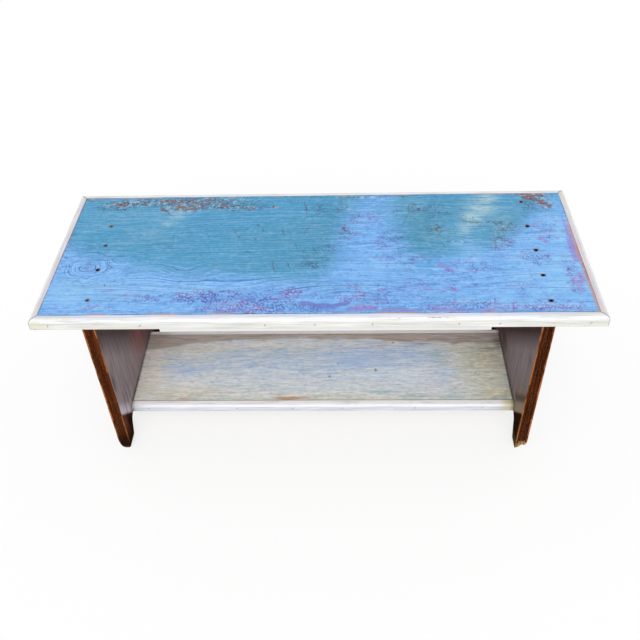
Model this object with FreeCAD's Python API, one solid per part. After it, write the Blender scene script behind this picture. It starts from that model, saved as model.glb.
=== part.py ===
import FreeCAD, Part
import math
import os

# Painted bucket bench: one wide plank top framed by a mitred moulding, two end boards with
# splayed foot cut-outs, and one low shelf with a moulding along its front and back edges.
# Millimetres, Z up. The origin is on the floor under the middle of the bench, -Y is the front.

# Overall size
bench_length = 1090.0
bench_depth = 422.0
bench_height = 420.0

# Top board
top_thickness = 23.7
top_arris_ease = 0.8

# Top moulding, which covers the board's edge and hangs a little below it
moulding_width = 14.5
moulding_lip = 0.8
moulding_flat = 7.0
moulding_quirk = 0.5
moulding_nose_drop = 9.5
moulding_bottom_round = 2.0
mitre_gap = 0.3

# End boards
end_thickness = 25.4
end_overhang_at_side = 73.6
end_overhang_at_front = 8.3
end_arris_round = 1.8

# Foot cut-out in each end board
foot_width = 32.0
foot_splay = 20.0
foot_corner_radius = 12.0
cut_out_below_shelf = 4.0

# Shelf board
shelf_top_height = 77.6
shelf_thickness = 19.7
shelf_overall_depth = 245.0
shelf_set_forward = 5.0
shelf_end_gap = 0.4
shelf_arris_ease = 0.8

# Shelf moulding
shelf_moulding_width = 14.5
shelf_moulding_lip = 0.8
shelf_moulding_flat = 9.5
shelf_moulding_quirk = 0.3
shelf_moulding_nose_drop = 7.5
shelf_moulding_bottom_round = 3.0
shelf_moulding_end_gap = 0.8

# Cut nails that hold the top and the shelf: a flat shank that tapers one way to a blunt tip
nail_length = 63.5
nail_width = 3.8
nail_tip_width = 1.9
nail_gauge = 2.4
nail_head_width = 5.0
nail_head_gauge = 3.2
nail_head_height = 1.6
nail_set = 2.6
nail_bore = 6.2
nail_clearance = 0.1

# Cut brads that hold the mouldings
brad_length = 28.0
brad_width = 2.4
brad_tip_width = 1.2
brad_gauge = 1.2
brad_head_width = 3.4
brad_head_gauge = 1.6
brad_head_height = 0.9
brad_set = 0.9
brad_bore_margin = 0.2
brad_clearance = 0.05

# Places of nails and brads. A nail in the top is given across the end board's thickness and
# along its depth, as shares of half of each. The others are shares of half of the edge's length.
left_top_nail_shares = [
    (-0.07, 0.90), (-0.42, 0.465), (-0.18, 0.104), (-0.06, -0.324), (0.06, -0.816),
]
right_top_nail_shares = [
    (-0.10, 0.86), (-0.24, 0.386), (0.01, -0.049), (-0.05, -0.473), (0.04, -0.872),
]
shelf_nail_shares = [-0.70, -0.24, 0.22, 0.68]
long_brad_shares = [-0.96, -0.63, -0.18, 0.20, 0.645, 0.96]
short_brad_shares = [-0.80, -0.28, 0.26, 0.79]
shelf_brad_shares = [-0.91, -0.443, -0.151, 0.109, 0.485, 0.833]

# How far an arc stands off its chord, for a moulding's nose and for a quarter circle
nose_bulge_share = 0.16
quarter_bulge_share = (math.sqrt(2) - 1) / 2

# How far a cutting shape runs past what it cuts
cut_overrun = 6.0

# How far an edge may stray from a direction or height, as a share of its length
straight_share = 0.001

# Places that follow from the sizes above
board_half_length = bench_length / 2 - moulding_width
board_half_depth = bench_depth / 2 - moulding_width
board_underside = bench_height - top_thickness
board_middle = bench_height - top_thickness / 2
end_outer = board_half_length - end_overhang_at_side
end_middle = end_outer - end_thickness / 2
end_inner = end_outer - end_thickness
end_half_depth = board_half_depth - end_overhang_at_front
shelf_underside = shelf_top_height - shelf_thickness
shelf_middle = shelf_top_height - shelf_thickness / 2
shelf_moulding_underside = shelf_underside - shelf_moulding_lip
shelf_half_depth = shelf_overall_depth / 2 - shelf_moulding_width
cut_out_top = shelf_moulding_underside - cut_out_below_shelf

UP = FreeCAD.Vector(0, 0, 1)
DOWN = FreeCAD.Vector(0, 0, -1)
BACKWARD = FreeCAD.Vector(0, 1, 0)
FORWARD = FreeCAD.Vector(0, -1, 0)
RIGHTWARD = FreeCAD.Vector(1, 0, 0)
LEFTWARD = FreeCAD.Vector(-1, 0, 0)
ORIGIN = FreeCAD.Vector(0, 0, 0)


def block(low, high):
    """A block between two opposite corners."""
    sizes = [high[i] - low[i] for i in range(3)]
    return Part.makeBox(*sizes, FreeCAD.Vector(*low))


def edges_of(shape, direction=None, height=None):
    """The straight edges that run along a direction, or lie at a height, or both."""
    found = []
    for edge in shape.Edges:
        start, end = (corner.Point for corner in edge.Vertexes)
        run = end - start
        tolerance = run.Length * straight_share
        if direction and run.cross(direction).Length > tolerance:
            continue
        if height is not None and max(abs(start.z - height), abs(end.z - height)) > tolerance:
            continue
        found.append(edge)
    return found


def turned(shape, degrees, place):
    """A copy turned about the vertical and moved to its place."""
    moved = shape.copy()
    move = FreeCAD.Placement(place, FreeCAD.Rotation(UP, degrees))
    moved.Placement = move.multiply(shape.Placement)
    return moved


def shank(length, width, tip_width, gauge, clearance):
    """A cut nail's flat shank down from the origin, grown all round by a clearance."""
    half = width / 2 + clearance
    half_tip = tip_width / 2 + clearance
    near = -gauge / 2 - clearance
    outline = Part.makePolygon([
        FreeCAD.Vector(-half, near, 0),
        FreeCAD.Vector(half, near, 0),
        FreeCAD.Vector(half_tip, near, -length - clearance),
        FreeCAD.Vector(-half_tip, near, -length - clearance),
        FreeCAD.Vector(-half, near, 0),
    ])
    return Part.Face(outline).extrude(BACKWARD * (-2 * near))


def head_block(width, gauge, height):
    """A flat nail head, or the rectangular hole above one, standing on the origin."""
    return block((-width / 2, -gauge / 2, 0), (width / 2, gauge / 2, height))


def driven(shape, surface_point, direction, wide_way, seat_depth):
    """A copy of a downward nail or hole, driven to its seat, its width turned the wide way."""
    moved = shape.copy()
    upward = direction * -1
    turn = FreeCAD.Rotation(wide_way, upward.cross(wide_way), upward, "ZXY")
    moved.Placement = FreeCAD.Placement(surface_point + direction * seat_depth, turn)
    return moved


def nails(surface_points, direction, wide_way):
    """The nails driven at these points, set below the surface, and their round-mouthed holes."""
    run = nail_length - nail_head_height
    nail = shank(run, nail_width, nail_tip_width, nail_gauge, 0).fuse(
        head_block(nail_head_width, nail_head_gauge, nail_head_height)
    )
    mouth = Part.makeCylinder(nail_bore / 2, nail_head_height + nail_set + cut_overrun, ORIGIN, UP)
    hole = shank(run, nail_width, nail_tip_width, nail_gauge, nail_clearance).fuse(mouth)
    seat_depth = nail_set + nail_head_height
    return (
        [driven(nail, place, direction, wide_way, seat_depth) for place in surface_points],
        [driven(hole, place, direction, wide_way, seat_depth) for place in surface_points],
    )


def brads(surface_points, direction):
    """The brads driven at these points with their heads upright, and their holes."""
    run = brad_length - brad_head_height
    brad = shank(run, brad_width, brad_tip_width, brad_gauge, 0).fuse(
        head_block(brad_head_width, brad_head_gauge, brad_head_height)
    )
    mouth = head_block(
        brad_head_width + brad_bore_margin, brad_head_gauge + brad_bore_margin,
        brad_head_height + brad_set + cut_overrun,
    )
    hole = shank(run, brad_width, brad_tip_width, brad_gauge, brad_clearance).fuse(mouth)
    seat_depth = brad_set + brad_head_height
    return (
        [driven(brad, place, direction, UP, seat_depth) for place in surface_points],
        [driven(hole, place, direction, UP, seat_depth) for place in surface_points],
    )


def bulged(start, end, bulge_share):
    """An arc from start to end, in the Y-Z plane, bulging by a share of its chord."""
    chord = end - start
    outward = FreeCAD.Vector(0, -chord.z, chord.y)
    return Part.Arc(start, start + chord * 0.5 + outward * bulge_share, end).toShape()


def moulding_section(width, height, flat, quirk, nose_drop, bottom_round):
    """The moulding's section: Y runs out from the board's edge, Z down from the top."""
    def point(outward, down):
        return FreeCAD.Vector(0, outward, -down)

    inner_top = point(0, 0)
    flat_end = point(flat, 0)
    quirk_foot = point(flat, quirk)
    face_top = point(width, nose_drop)
    face_foot = point(width, height - bottom_round)
    round_end = point(width - bottom_round, height)
    inner_foot = point(0, height)
    edges = [
        Part.makeLine(inner_top, flat_end),
        Part.makeLine(flat_end, quirk_foot),
        bulged(quirk_foot, face_top, nose_bulge_share),
        Part.makeLine(face_top, face_foot),
        bulged(face_foot, round_end, quarter_bulge_share),
        Part.makeLine(round_end, inner_foot),
        Part.makeLine(inner_foot, inner_top),
    ]
    return Part.Face(Part.Wire(edges))


def straight_moulding(section, half_length):
    """A length of moulding along X, centred, with square ends."""
    strip = section.extrude(RIGHTWARD * (half_length * 2))
    strip.translate(LEFTWARD * half_length)
    return strip


def mitred_moulding(section, half_length):
    """A length of moulding whose ends are mitred, for an edge of this half length."""
    strip = straight_moulding(section, half_length + moulding_width + cut_overrun)
    inner_end = half_length - mitre_gap / math.sqrt(2)
    reach = moulding_width + cut_overrun
    foot = -moulding_lip - top_thickness - cut_overrun
    plan = Part.makePolygon([
        FreeCAD.Vector(-inner_end + cut_overrun, -cut_overrun, foot),
        FreeCAD.Vector(inner_end - cut_overrun, -cut_overrun, foot),
        FreeCAD.Vector(inner_end + reach, reach, foot),
        FreeCAD.Vector(-inner_end - reach, reach, foot),
        FreeCAD.Vector(-inner_end + cut_overrun, -cut_overrun, foot),
    ])
    keep = Part.Face(plan).extrude(UP * (cut_overrun - foot))
    return strip.common(keep)


def top_board():
    """The plank top, with its upper arrises eased."""
    board = block(
        (-board_half_length, -board_half_depth, board_underside),
        (board_half_length, board_half_depth, bench_height),
    )
    return board.makeChamfer(top_arris_ease, edges_of(board, height=bench_height))


def end_board(side):
    """One end board, side -1 on the left and 1 on the right, with its foot cut-out."""
    low_x, high_x = sorted((side * end_inner, side * end_outer))
    board = block((low_x, -end_half_depth, 0), (high_x, end_half_depth, board_underside))
    board = board.makeFillet(end_arris_round, edges_of(board, UP))
    floor_half = end_half_depth - foot_width
    top_half = floor_half - foot_splay
    splay_run = foot_splay * cut_overrun / cut_out_top
    section = Part.makePolygon([
        FreeCAD.Vector(low_x - cut_overrun, -floor_half - splay_run, -cut_overrun),
        FreeCAD.Vector(low_x - cut_overrun, floor_half + splay_run, -cut_overrun),
        FreeCAD.Vector(low_x - cut_overrun, top_half, cut_out_top),
        FreeCAD.Vector(low_x - cut_overrun, -top_half, cut_out_top),
        FreeCAD.Vector(low_x - cut_overrun, -floor_half - splay_run, -cut_overrun),
    ])
    cut_out = Part.Face(section).extrude(RIGHTWARD * (end_thickness + 2 * cut_overrun))
    cut_out = cut_out.makeFillet(foot_corner_radius, edges_of(cut_out, RIGHTWARD, cut_out_top))
    return board.cut(cut_out)


def shelf_board():
    """The shelf, butted between the end boards, with its upper arrises eased."""
    half_length = end_inner - shelf_end_gap
    board = block(
        (-half_length, -shelf_half_depth - shelf_set_forward, shelf_underside),
        (half_length, shelf_half_depth - shelf_set_forward, shelf_top_height),
    )
    return board.makeChamfer(shelf_arris_ease, edges_of(board, height=shelf_top_height))


def top_moulding_parts():
    """The four mitred mouldings round the top, by side."""
    section = moulding_section(
        moulding_width, top_thickness + moulding_lip, moulding_flat, moulding_quirk,
        moulding_nose_drop, moulding_bottom_round,
    )
    long_strip = mitred_moulding(section, board_half_length)
    short_strip = mitred_moulding(section, board_half_depth)
    level = UP * bench_height
    return {
        "front": turned(long_strip, 180, level + FORWARD * board_half_depth),
        "back": turned(long_strip, 0, level + BACKWARD * board_half_depth),
        "left": turned(short_strip, 90, level + LEFTWARD * board_half_length),
        "right": turned(short_strip, 270, level + RIGHTWARD * board_half_length),
    }


def shelf_moulding_parts():
    """The mouldings on the shelf's front and back edges, by side."""
    section = moulding_section(
        shelf_moulding_width, shelf_thickness + shelf_moulding_lip, shelf_moulding_flat,
        shelf_moulding_quirk, shelf_moulding_nose_drop, shelf_moulding_bottom_round,
    )
    strip = straight_moulding(section, end_inner - shelf_moulding_end_gap)
    middle = FreeCAD.Vector(0, -shelf_set_forward, shelf_top_height)
    return {
        "front": turned(strip, 180, middle + FORWARD * shelf_half_depth),
        "back": turned(strip, 0, middle + BACKWARD * shelf_half_depth),
    }


def top_nail_points(side, shares):
    """Where nails enter the top above one end board."""
    return [
        FreeCAD.Vector(
            side * end_middle + across * end_thickness / 2, along * end_half_depth, bench_height,
        )
        for across, along in shares
    ]


def shelf_nail_points(side):
    """Where nails enter the outside of an end board to hold the shelf."""
    return [
        FreeCAD.Vector(side * end_outer, share * shelf_half_depth - shelf_set_forward, shelf_middle)
        for share in shelf_nail_shares
    ]


def build():
    """Every node by name, with nails and brads as groups of solids."""
    pieces = {
        "top_board": top_board(),
        "end_board_left": end_board(-1),
        "end_board_right": end_board(1),
        "shelf_board": shelf_board(),
    }
    for side, strip in top_moulding_parts().items():
        pieces["top_moulding_" + side] = strip
    for side, strip in shelf_moulding_parts().items():
        pieces["shelf_moulding_" + side] = strip

    # Each group: its name, the pins, their holes and the pieces that the holes are cut in
    groups = []
    for side, sign, shares, inward in (
        ("left", -1, left_top_nail_shares, RIGHTWARD), ("right", 1, right_top_nail_shares, LEFTWARD),
    ):
        end_name = "end_board_" + side
        made, holes = nails(top_nail_points(sign, shares), DOWN, RIGHTWARD)
        groups.append(("top_nails_" + side, made, holes, ["top_board", end_name]))
        made, holes = nails(shelf_nail_points(sign), inward, UP)
        groups.append(("shelf_nails_" + side, made, holes, [end_name, "shelf_board"]))

    outer_x = bench_length / 2
    outer_y = bench_depth / 2
    long_run = [share * board_half_length for share in long_brad_shares]
    short_run = [share * board_half_depth for share in short_brad_shares]
    mid_run = [share * end_inner for share in shelf_brad_shares]
    front_y = -shelf_overall_depth / 2 - shelf_set_forward
    back_y = shelf_overall_depth / 2 - shelf_set_forward
    for strip_name, board_name, direction, places in (
        ("top_moulding_front", "top_board", BACKWARD, [(x, -outer_y, board_middle) for x in long_run]),
        ("top_moulding_back", "top_board", FORWARD, [(-x, outer_y, board_middle) for x in long_run]),
        ("top_moulding_left", "top_board", RIGHTWARD, [(-outer_x, y, board_middle) for y in short_run]),
        ("top_moulding_right", "top_board", LEFTWARD, [(outer_x, y, board_middle) for y in short_run]),
        ("shelf_moulding_front", "shelf_board", BACKWARD, [(x, front_y, shelf_middle) for x in mid_run]),
        ("shelf_moulding_back", "shelf_board", FORWARD, [(-x, back_y, shelf_middle) for x in mid_run]),
    ):
        made, holes = brads([FreeCAD.Vector(*place) for place in places], direction)
        groups.append((strip_name + "_brads", made, holes, [strip_name, board_name]))

    holes_in = {}
    for name, made, holes, pierced in groups:
        pieces[name] = Part.Compound(made)
        for piece in pierced:
            holes_in.setdefault(piece, []).extend(holes)
    for name, holes in holes_in.items():
        pieces[name] = pieces[name].cut(holes)
    return pieces


os.makedirs("parts", exist_ok=True)
for node, shape in build().items():
    shape.exportStep(os.path.join("parts", node + ".step"))
    print(node, len(shape.Solids), "solids", round(shape.Volume), "mm3", shape.isValid())
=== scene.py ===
import math

import bmesh
import bpy
import numpy as np
from mathutils import Matrix, Vector


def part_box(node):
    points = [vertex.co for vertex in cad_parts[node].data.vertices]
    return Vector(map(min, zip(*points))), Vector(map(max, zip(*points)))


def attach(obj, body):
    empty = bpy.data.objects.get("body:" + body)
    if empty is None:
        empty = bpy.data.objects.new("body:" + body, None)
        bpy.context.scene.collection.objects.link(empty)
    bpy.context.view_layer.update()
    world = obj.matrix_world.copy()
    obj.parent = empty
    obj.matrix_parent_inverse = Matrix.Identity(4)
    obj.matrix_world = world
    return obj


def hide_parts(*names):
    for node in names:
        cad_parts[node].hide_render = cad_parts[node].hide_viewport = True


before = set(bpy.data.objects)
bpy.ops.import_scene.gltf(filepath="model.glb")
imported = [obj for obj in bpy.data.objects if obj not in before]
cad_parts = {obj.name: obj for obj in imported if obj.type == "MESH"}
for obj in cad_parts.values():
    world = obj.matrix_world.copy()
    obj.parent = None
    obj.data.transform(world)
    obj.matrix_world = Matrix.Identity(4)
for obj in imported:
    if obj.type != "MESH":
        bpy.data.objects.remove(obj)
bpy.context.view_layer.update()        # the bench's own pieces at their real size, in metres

bl_info = {
    "name": "Painted bucket bench",
    "version": (1, 0, 0),
    "blender": (4, 5, 0),
    "location": "3D View > Sidebar > Bench",
    "description": "Dresses a bucket bench in worn paint, white moulding and stained end boards",
    "category": "Object",
}

MM = 0.001
HAIR = 0.01 * MM         # two places closer than this count as one
SMOOTH_ANGLE = math.radians(40)


# Colours and lengths that a user can change

def linear(code):
    """An sRGB hex colour as linear red, green, blue and alpha."""
    shares = [int(code[i:i + 2], 16) / 255 for i in (0, 2, 4)]
    return [s / 12.92 if s <= 0.04045 else ((s + 0.055) / 1.055) ** 2.4 for s in shares] + [1.0]


def colour_prop(name, description, code):
    """A colour with its default as a hex value."""
    return bpy.props.FloatVectorProperty(
        name=name, description=description, subtype="COLOR", size=4, min=0, max=1,
        default=linear(code),
    )


def length_prop(name, description, millimetres):
    """A length with its default in millimetres."""
    return bpy.props.FloatProperty(
        name=name, description=description, subtype="DISTANCE", unit="LENGTH",
        default=millimetres * MM,
    )


class BenchSizes(bpy.types.PropertyGroup):
    """Sizes of the relief, the mouldings' profiles and the wear."""
    cell: length_prop("Mesh cell", "Spacing of the mesh on a visible wood face", 2.5)
    ring_spacing: length_prop("Ring spacing", "Distance between raised rings on the plank", 8.0)
    relief: length_prop("Raised grain", "Height of the raised grain on the plank", 0.4)
    ease: length_prop("Eased arris", "Radius on the boards' sharp edges", 0.8)
    arris_wear: length_prop("Arris wear", "Radius that handling has worn on the end boards", 2.6)
    nail_bore: length_prop("Nail bore", "Diameter of the hole above a set nail", 6.2)
    nail_seat: length_prop("Nail seat", "Depth of the hole that a set nail's head lies in", 4.2)
    flat: length_prop("Moulding flat", "Width of the flat band on the top moulding", 7.0)
    quirk: length_prop("Moulding quirk", "Step beside the flat band", 0.5)
    nose: length_prop("Moulding nose", "Drop of the moulding's rounded nose", 9.0)
    shelf_flat: length_prop("Shelf moulding flat", "Width of the shelf moulding's flat band", 9.5)
    shelf_quirk: length_prop("Shelf moulding quirk", "Step beside its flat band", 0.3)
    shelf_nose: length_prop("Shelf moulding nose", "Drop of its rounded nose", 7.2)
    mitre_gap: length_prop("Mitre gap", "Hairline gap in each mitre", 0.3)
    foot_width: length_prop("Foot width", "Width of a foot at the floor", 32.0)
    foot_splay: length_prop("Foot splay", "Slant of the foot cut-out's side", 20.0)
    cut_out_top: length_prop("Cut-out height", "Height of the foot cut-out", 53.1)
    cut_out_radius: length_prop("Cut-out corner", "Radius of the cut-out's upper corners", 12.0)


class BenchColours(bpy.types.PropertyGroup):
    """Paints, stains and bare woods."""
    # The plank's teal, deep teal, sky blue and bright sky blue are one blue paint under painted
    # reflections: teal and deep teal where it reflects dark surroundings, sky blue and bright sky blue
    # where it reflects the sky.
    teal: colour_prop("Teal blue", "Blue paint where it has aged greener", "4C9DC8")
    dark_reflection_teal: colour_prop("Deep teal", "Blue paint where it is dirtiest", "4A90AA")
    sky: colour_prop("Sky blue", "Blue paint where it is fresh", "78B4F6")
    bright: colour_prop("Bright sky blue", "Blue paint where it is palest", "9AD2FF")
    rose: colour_prop("Rose undercoat", "Undercoat that shows through the blue", "A07CC6")
    plum: colour_prop("Plum undercoat", "Undercoat where it is dirty", "86689C")
    bare_pine: colour_prop("Bare pine", "Wood worn bare through the blue", "93787A")
    # This colour paints the plank's sheen: a painted reflection, paler and greener than the blue.
    scratch: colour_prop("Scratch", "Dirt in a scratch or nick", "5A444C")
    pale: colour_prop("Rubbed bloom", "Rubbed, dusty patch on the blue", "C2DEDA")
    old_pine: colour_prop("Old pine", "Unpainted wood on the underside", "A08564")
    white: colour_prop("White", "Moulding paint", "E9EBEE")
    cream: colour_prop("Cream", "Moulding paint where it has yellowed", "DDD8C4")
    moulding_wear: colour_prop("Moulding wear", "Wood that shows on the moulding's arris", "9A7F66")
    limewash: colour_prop("Limewash", "Rubbed paint on the shelf", "D8E1E6")
    shelf_blue: colour_prop("Shelf blue", "Blue that shows through the limewash", "B2D6FF")
    shelf_teal: colour_prop("Shelf teal", "Teal streaks on the shelf", "7EC0C4")
    lavender: colour_prop("Lavender", "Cool rubbed white on the shelf", "E2EEFF")
    shelf_bare: colour_prop("Shelf bare wood", "Unpainted band along the back", "C2B6B0")
    shelf_tan: colour_prop("Shelf tan", "Worn wood along the front", "C09474")
    stain: colour_prop("Walnut stain", "Stain on the end boards", "582A12")
    stain_dark: colour_prop("Dark stain", "Stain where it pooled in the grain", "240F07")
    # The varnish bloom and pale bloom paint the reflection of the sky and floor on the satin varnish.
    painted_reflection: colour_prop("Varnish bloom", "Greyed varnish on the broad faces", "A08C90")
    inner_painted_reflection: colour_prop("Pale bloom", "Greyer bloom on the sheltered inner faces", "A89EA2")
    worn_orange: colour_prop("Worn arris", "Wood worn bright on the end boards' arrises", "B8703C")
    splinter: colour_prop("Splintered wood", "Fresh wood on the broken foot", "BC9462")
    # This colour also paints the shade under the shelf on the end boards' inner faces.
    damp_and_shelf_shade: colour_prop("Damp foot", "Dirt that a foot has drawn up", "1E120C")
    steel: colour_prop("Nail steel", "Dull nail heads", "2E2622")


# Small helpers

def deselect():
    """Nothing selected."""
    bpy.ops.object.select_all(action="DESELECT")


def edit(piece):
    """Opens a piece for editing, with nothing else selected."""
    deselect()
    piece.select_set(True)
    bpy.context.view_layer.objects.active = piece
    bpy.ops.object.mode_set(mode="EDIT")


def leave_edit():
    """Back to object mode."""
    bpy.ops.object.mode_set(mode="OBJECT")


def points_of(piece):
    """The piece's points as an array, in metres."""
    flat = np.empty(len(piece.data.vertices) * 3)
    piece.data.vertices.foreach_get("co", flat)
    return flat.reshape(-1, 3)


def set_points(piece, points):
    """Moves the piece's points."""
    piece.data.vertices.foreach_set("co", points.ravel())
    piece.data.update()


def tint(piece, name, values):
    """Stores one number a point for a material to read."""
    layer = piece.data.attributes.new(name, "FLOAT", "POINT")
    layer.data.foreach_set("value", np.ascontiguousarray(values, dtype=np.float32))


def rough(u, v, seed, octaves=3):
    """Smooth noise from 0 to 1 on arrays, one cell a unit, with finer octaves added."""
    total = np.zeros_like(u)
    share = 1.0
    whole = 0.0
    table = np.random.default_rng(seed).random((64, 64))
    for octave in range(octaves):
        a = u * 2 ** octave + 17.3 * octave
        b = v * 2 ** octave + 5.7 * octave
        i = np.floor(a).astype(int)
        j = np.floor(b).astype(int)
        s = a - i
        t = b - j
        s = s * s * (3 - 2 * s)
        t = t * t * (3 - 2 * t)
        low = table[i % 64, j % 64] * (1 - s) + table[(i + 1) % 64, j % 64] * s
        high = table[i % 64, (j + 1) % 64] * (1 - s) + table[(i + 1) % 64, (j + 1) % 64] * s
        total += share * (low * (1 - t) + high * t)
        whole += share
        share *= 0.5
    return total / whole


def spots(x, y, marks):
    """Soft ellipses in mm: place x, place y, half length, half width, turn in degrees, strength."""
    total = np.zeros_like(x)
    for place_x, place_y, along, across, turn, strength in marks:
        c = math.cos(math.radians(turn))
        s = math.sin(math.radians(turn))
        u = (x - place_x) * c + (y - place_y) * s
        v = (y - place_y) * c - (x - place_x) * s
        total = np.maximum(total, strength * np.exp(-(u / along) ** 2 - (v / across) ** 2))
    return total


def ramp(values, low, high):
    """0 below low, 1 above high, smooth between; low may be the larger."""
    share = np.clip((values - low) / (high - low), 0, 1)
    return share * share * (3 - 2 * share)


# Modelling

def grid_sheet(name, centre, size, cell, turn=(0, 0, 0)):
    """A flat grid of nearly square cells, at its real size and place."""
    deselect()
    bpy.ops.mesh.primitive_grid_add(
        x_subdivisions=max(1, round(size[0] / cell)), y_subdivisions=max(1, round(size[1] / cell)),
        size=1, location=centre, rotation=turn,
    )
    piece = bpy.context.object
    piece.scale = (size[0], size[1], 1)
    bpy.ops.object.transform_apply(location=True, rotation=True, scale=True)
    piece.name = name
    piece.data.name = name
    return piece


def cut_loops(piece, axis, places):
    """Cuts the whole piece across one axis at each place."""
    edit(piece)
    normal = [0.0, 0.0, 0.0]
    normal[axis] = 1.0
    for place in places:
        on_plane = [0.0, 0.0, 0.0]
        on_plane[axis] = place
        bpy.ops.mesh.select_all(action="SELECT")
        bpy.ops.mesh.bisect(plane_co=on_plane, plane_no=normal)
    leave_edit()


def arris_cuts(low, high, ease):
    """Where a board is cut across, so that its arrises can be eased."""
    return [low + ease, low + ease / 3, high - ease, high - ease / 3]


def extrude_rim(piece, thickness, ease):
    """Pulls the sheet's rim down in steps through the board's thickness and closes the underside."""
    edit(piece)
    bpy.ops.mesh.select_mode(type="EDGE")
    bpy.ops.mesh.select_all(action="SELECT")
    bpy.ops.mesh.region_to_loop()
    for drop in (ease / 3, ease * 2 / 3, thickness - ease):
        bpy.ops.mesh.extrude_region_move(TRANSFORM_OT_translate={"value": (0, 0, -drop)})
    bpy.ops.mesh.edge_face_add()
    bpy.ops.mesh.select_all(action="SELECT")
    bpy.ops.mesh.normals_make_consistent(inside=False)
    leave_edit()


def sink_holes(piece, centres, radius, push, cell):
    """Gathers the faces round each centre into a ring and pushes them in, as a set nail does."""
    middles = np.empty(len(piece.data.polygons) * 3)
    piece.data.polygons.foreach_get("center", middles)
    middles = middles.reshape(-1, 3)
    near = np.zeros(len(middles), dtype=bool)
    for centre in centres:
        near |= np.linalg.norm(middles - np.array(centre), axis=1) < radius + cell * 0.2
    edit(piece)
    bpy.ops.mesh.select_mode(type="FACE")
    bpy.ops.mesh.select_all(action="DESELECT")
    mesh = bmesh.from_edit_mesh(piece.data)
    mesh.faces.ensure_lookup_table()
    for index in np.nonzero(near)[0]:
        mesh.faces[index].select_set(True)
    for vertex in mesh.verts:
        if vertex.select and not all(face.select for face in vertex.link_faces):
            here = np.array(vertex.co)
            centre = min(centres, key=lambda place: np.linalg.norm(here - np.array(place)))
            out = here - np.array(centre)
            vertex.co = np.array(centre) + out / np.linalg.norm(out) * radius
    bmesh.update_edit_mesh(piece.data)
    bpy.ops.mesh.extrude_region_move(TRANSFORM_OT_translate={"value": push})
    leave_edit()


def ease_arris(points, side, depth, side_radius, depth_radius):
    """Rolls the arris between two faces onto a quarter of an ellipse. A face is (axis, place,
    way in)."""
    axis_a, face_a, way_a = side
    axis_b, face_b, way_b = depth
    in_a = (points[:, axis_a] - face_a) * way_a
    in_b = (points[:, axis_b] - face_b) * way_b
    on_a = (in_a < HAIR) & (in_b < depth_radius)
    on_b = (in_b < HAIR) & (in_a < side_radius) & ~on_a
    turn = np.where(on_a, (1 - in_b / depth_radius) * math.pi / 4, 0)
    turn = np.where(on_b, math.pi / 2 - (1 - in_a / side_radius) * math.pi / 4, turn)
    moved = on_a | on_b
    rolled_a = face_a + way_a * side_radius * (1 - np.cos(turn))
    rolled_b = face_b + way_b * depth_radius * (1 - np.sin(turn))
    points[:, axis_a] = np.where(moved, rolled_a, points[:, axis_a])
    points[:, axis_b] = np.where(moved, rolled_b, points[:, axis_b])


def finish_piece(piece, material, slot, *nodes):
    """Shades a piece, gives it its material and sets it in the frame in place of its CAD nodes."""
    deselect()
    piece.select_set(True)
    bpy.context.view_layer.objects.active = piece
    bpy.ops.object.shade_smooth_by_angle(angle=SMOOTH_ANGLE)
    piece.data.materials.clear()
    piece.data.materials.append(material)
    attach(piece, "root")
    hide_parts(*nodes)


# Materials

def add_node(tree, kind, inputs=None, **settings):
    """Adds a node with its settings, and gives each input a value or a link."""
    node = tree.nodes.new(kind)
    for name, value in settings.items():
        setattr(node, name, value)
    for key, value in (inputs or {}).items():
        if isinstance(value, bpy.types.NodeSocket):
            tree.links.new(value, node.inputs[key])
        else:
            node.inputs[key].default_value = value
    return node


def new_material(name, tints=()):
    """A node material with its tree, its object coordinates and the tints that its piece stores."""
    material = bpy.data.materials.new(name)
    material.use_nodes = True
    tree = material.node_tree
    tree.nodes.clear()
    place = add_node(tree, "ShaderNodeTexCoord").outputs["Object"]
    stored = {
        tint_name: add_node(tree, "ShaderNodeAttribute", attribute_name=tint_name).outputs["Fac"]
        for tint_name in tints
    }
    return material, tree, place, stored


def grain(tree, place, size_mm, detail=3.0, seed=0.0):
    """Noise whose features have these sizes in mm along X, Y and Z."""
    shares = [1 / (side * MM) for side in size_mm]
    scaled = add_node(
        tree, "ShaderNodeVectorMath", {0: place, 1: shares, 2: (seed, seed, seed)},
        operation="MULTIPLY_ADD",
    )
    return add_node(
        tree, "ShaderNodeTexNoise",
        {"Vector": scaled.outputs[0], "Scale": 1.0, "Detail": detail, "Roughness": 0.55},
    ).outputs["Fac"]


def product(tree, masks):
    """All the masks multiplied together. A mask is a number or a link, or (value, low, high), which
    is 0 where the value is at low and 1 where it is at high."""
    total = None
    for mask in masks:
        if isinstance(mask, tuple):
            ends = {"Value": mask[0], "From Min": mask[1], "From Max": mask[2]}
            mask = add_node(tree, "ShaderNodeMapRange", ends).outputs["Result"]
        if total is not None:
            mask = add_node(
                tree, "ShaderNodeMath", {0: total, 1: mask}, operation="MULTIPLY",
            ).outputs[0]
        total = mask
    return total


def flakes(tree, noise, share, edge=0.04):
    """A mask of flakes: the larger the share, the more of the noise's peaks it takes in."""
    lifted = add_node(tree, "ShaderNodeMath", {0: noise, 1: share}, operation="ADD")
    return product(tree, [(lifted.outputs[0], 1 - edge, 1 + edge)])


def pile(tree, weighted):
    """A sum of masks, each with its weight."""
    total = 0.0
    for mask, weight in weighted:
        total = add_node(
            tree, "ShaderNodeMath", {0: mask, 1: weight, 2: total}, operation="MULTIPLY_ADD",
        ).outputs[0]
    return total


def coats(tree, base, layers):
    """Lays colours over a base from the bottom up, each where all its masks are full."""
    for masks, colour in layers:
        share = product(tree, masks)
        mixed = add_node(tree, "ShaderNodeMix", {0: share, 6: base, 7: colour}, data_type="RGBA")
        base = mixed.outputs[2]
    return base


def underside(tree):
    """1 on faces that look down."""
    facing = add_node(tree, "ShaderNodeNewGeometry").outputs["Normal"]
    rise = add_node(tree, "ShaderNodeSeparateXYZ", {0: facing}).outputs["Z"]
    return product(tree, [(rise, -0.3, -0.6)])


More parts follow.
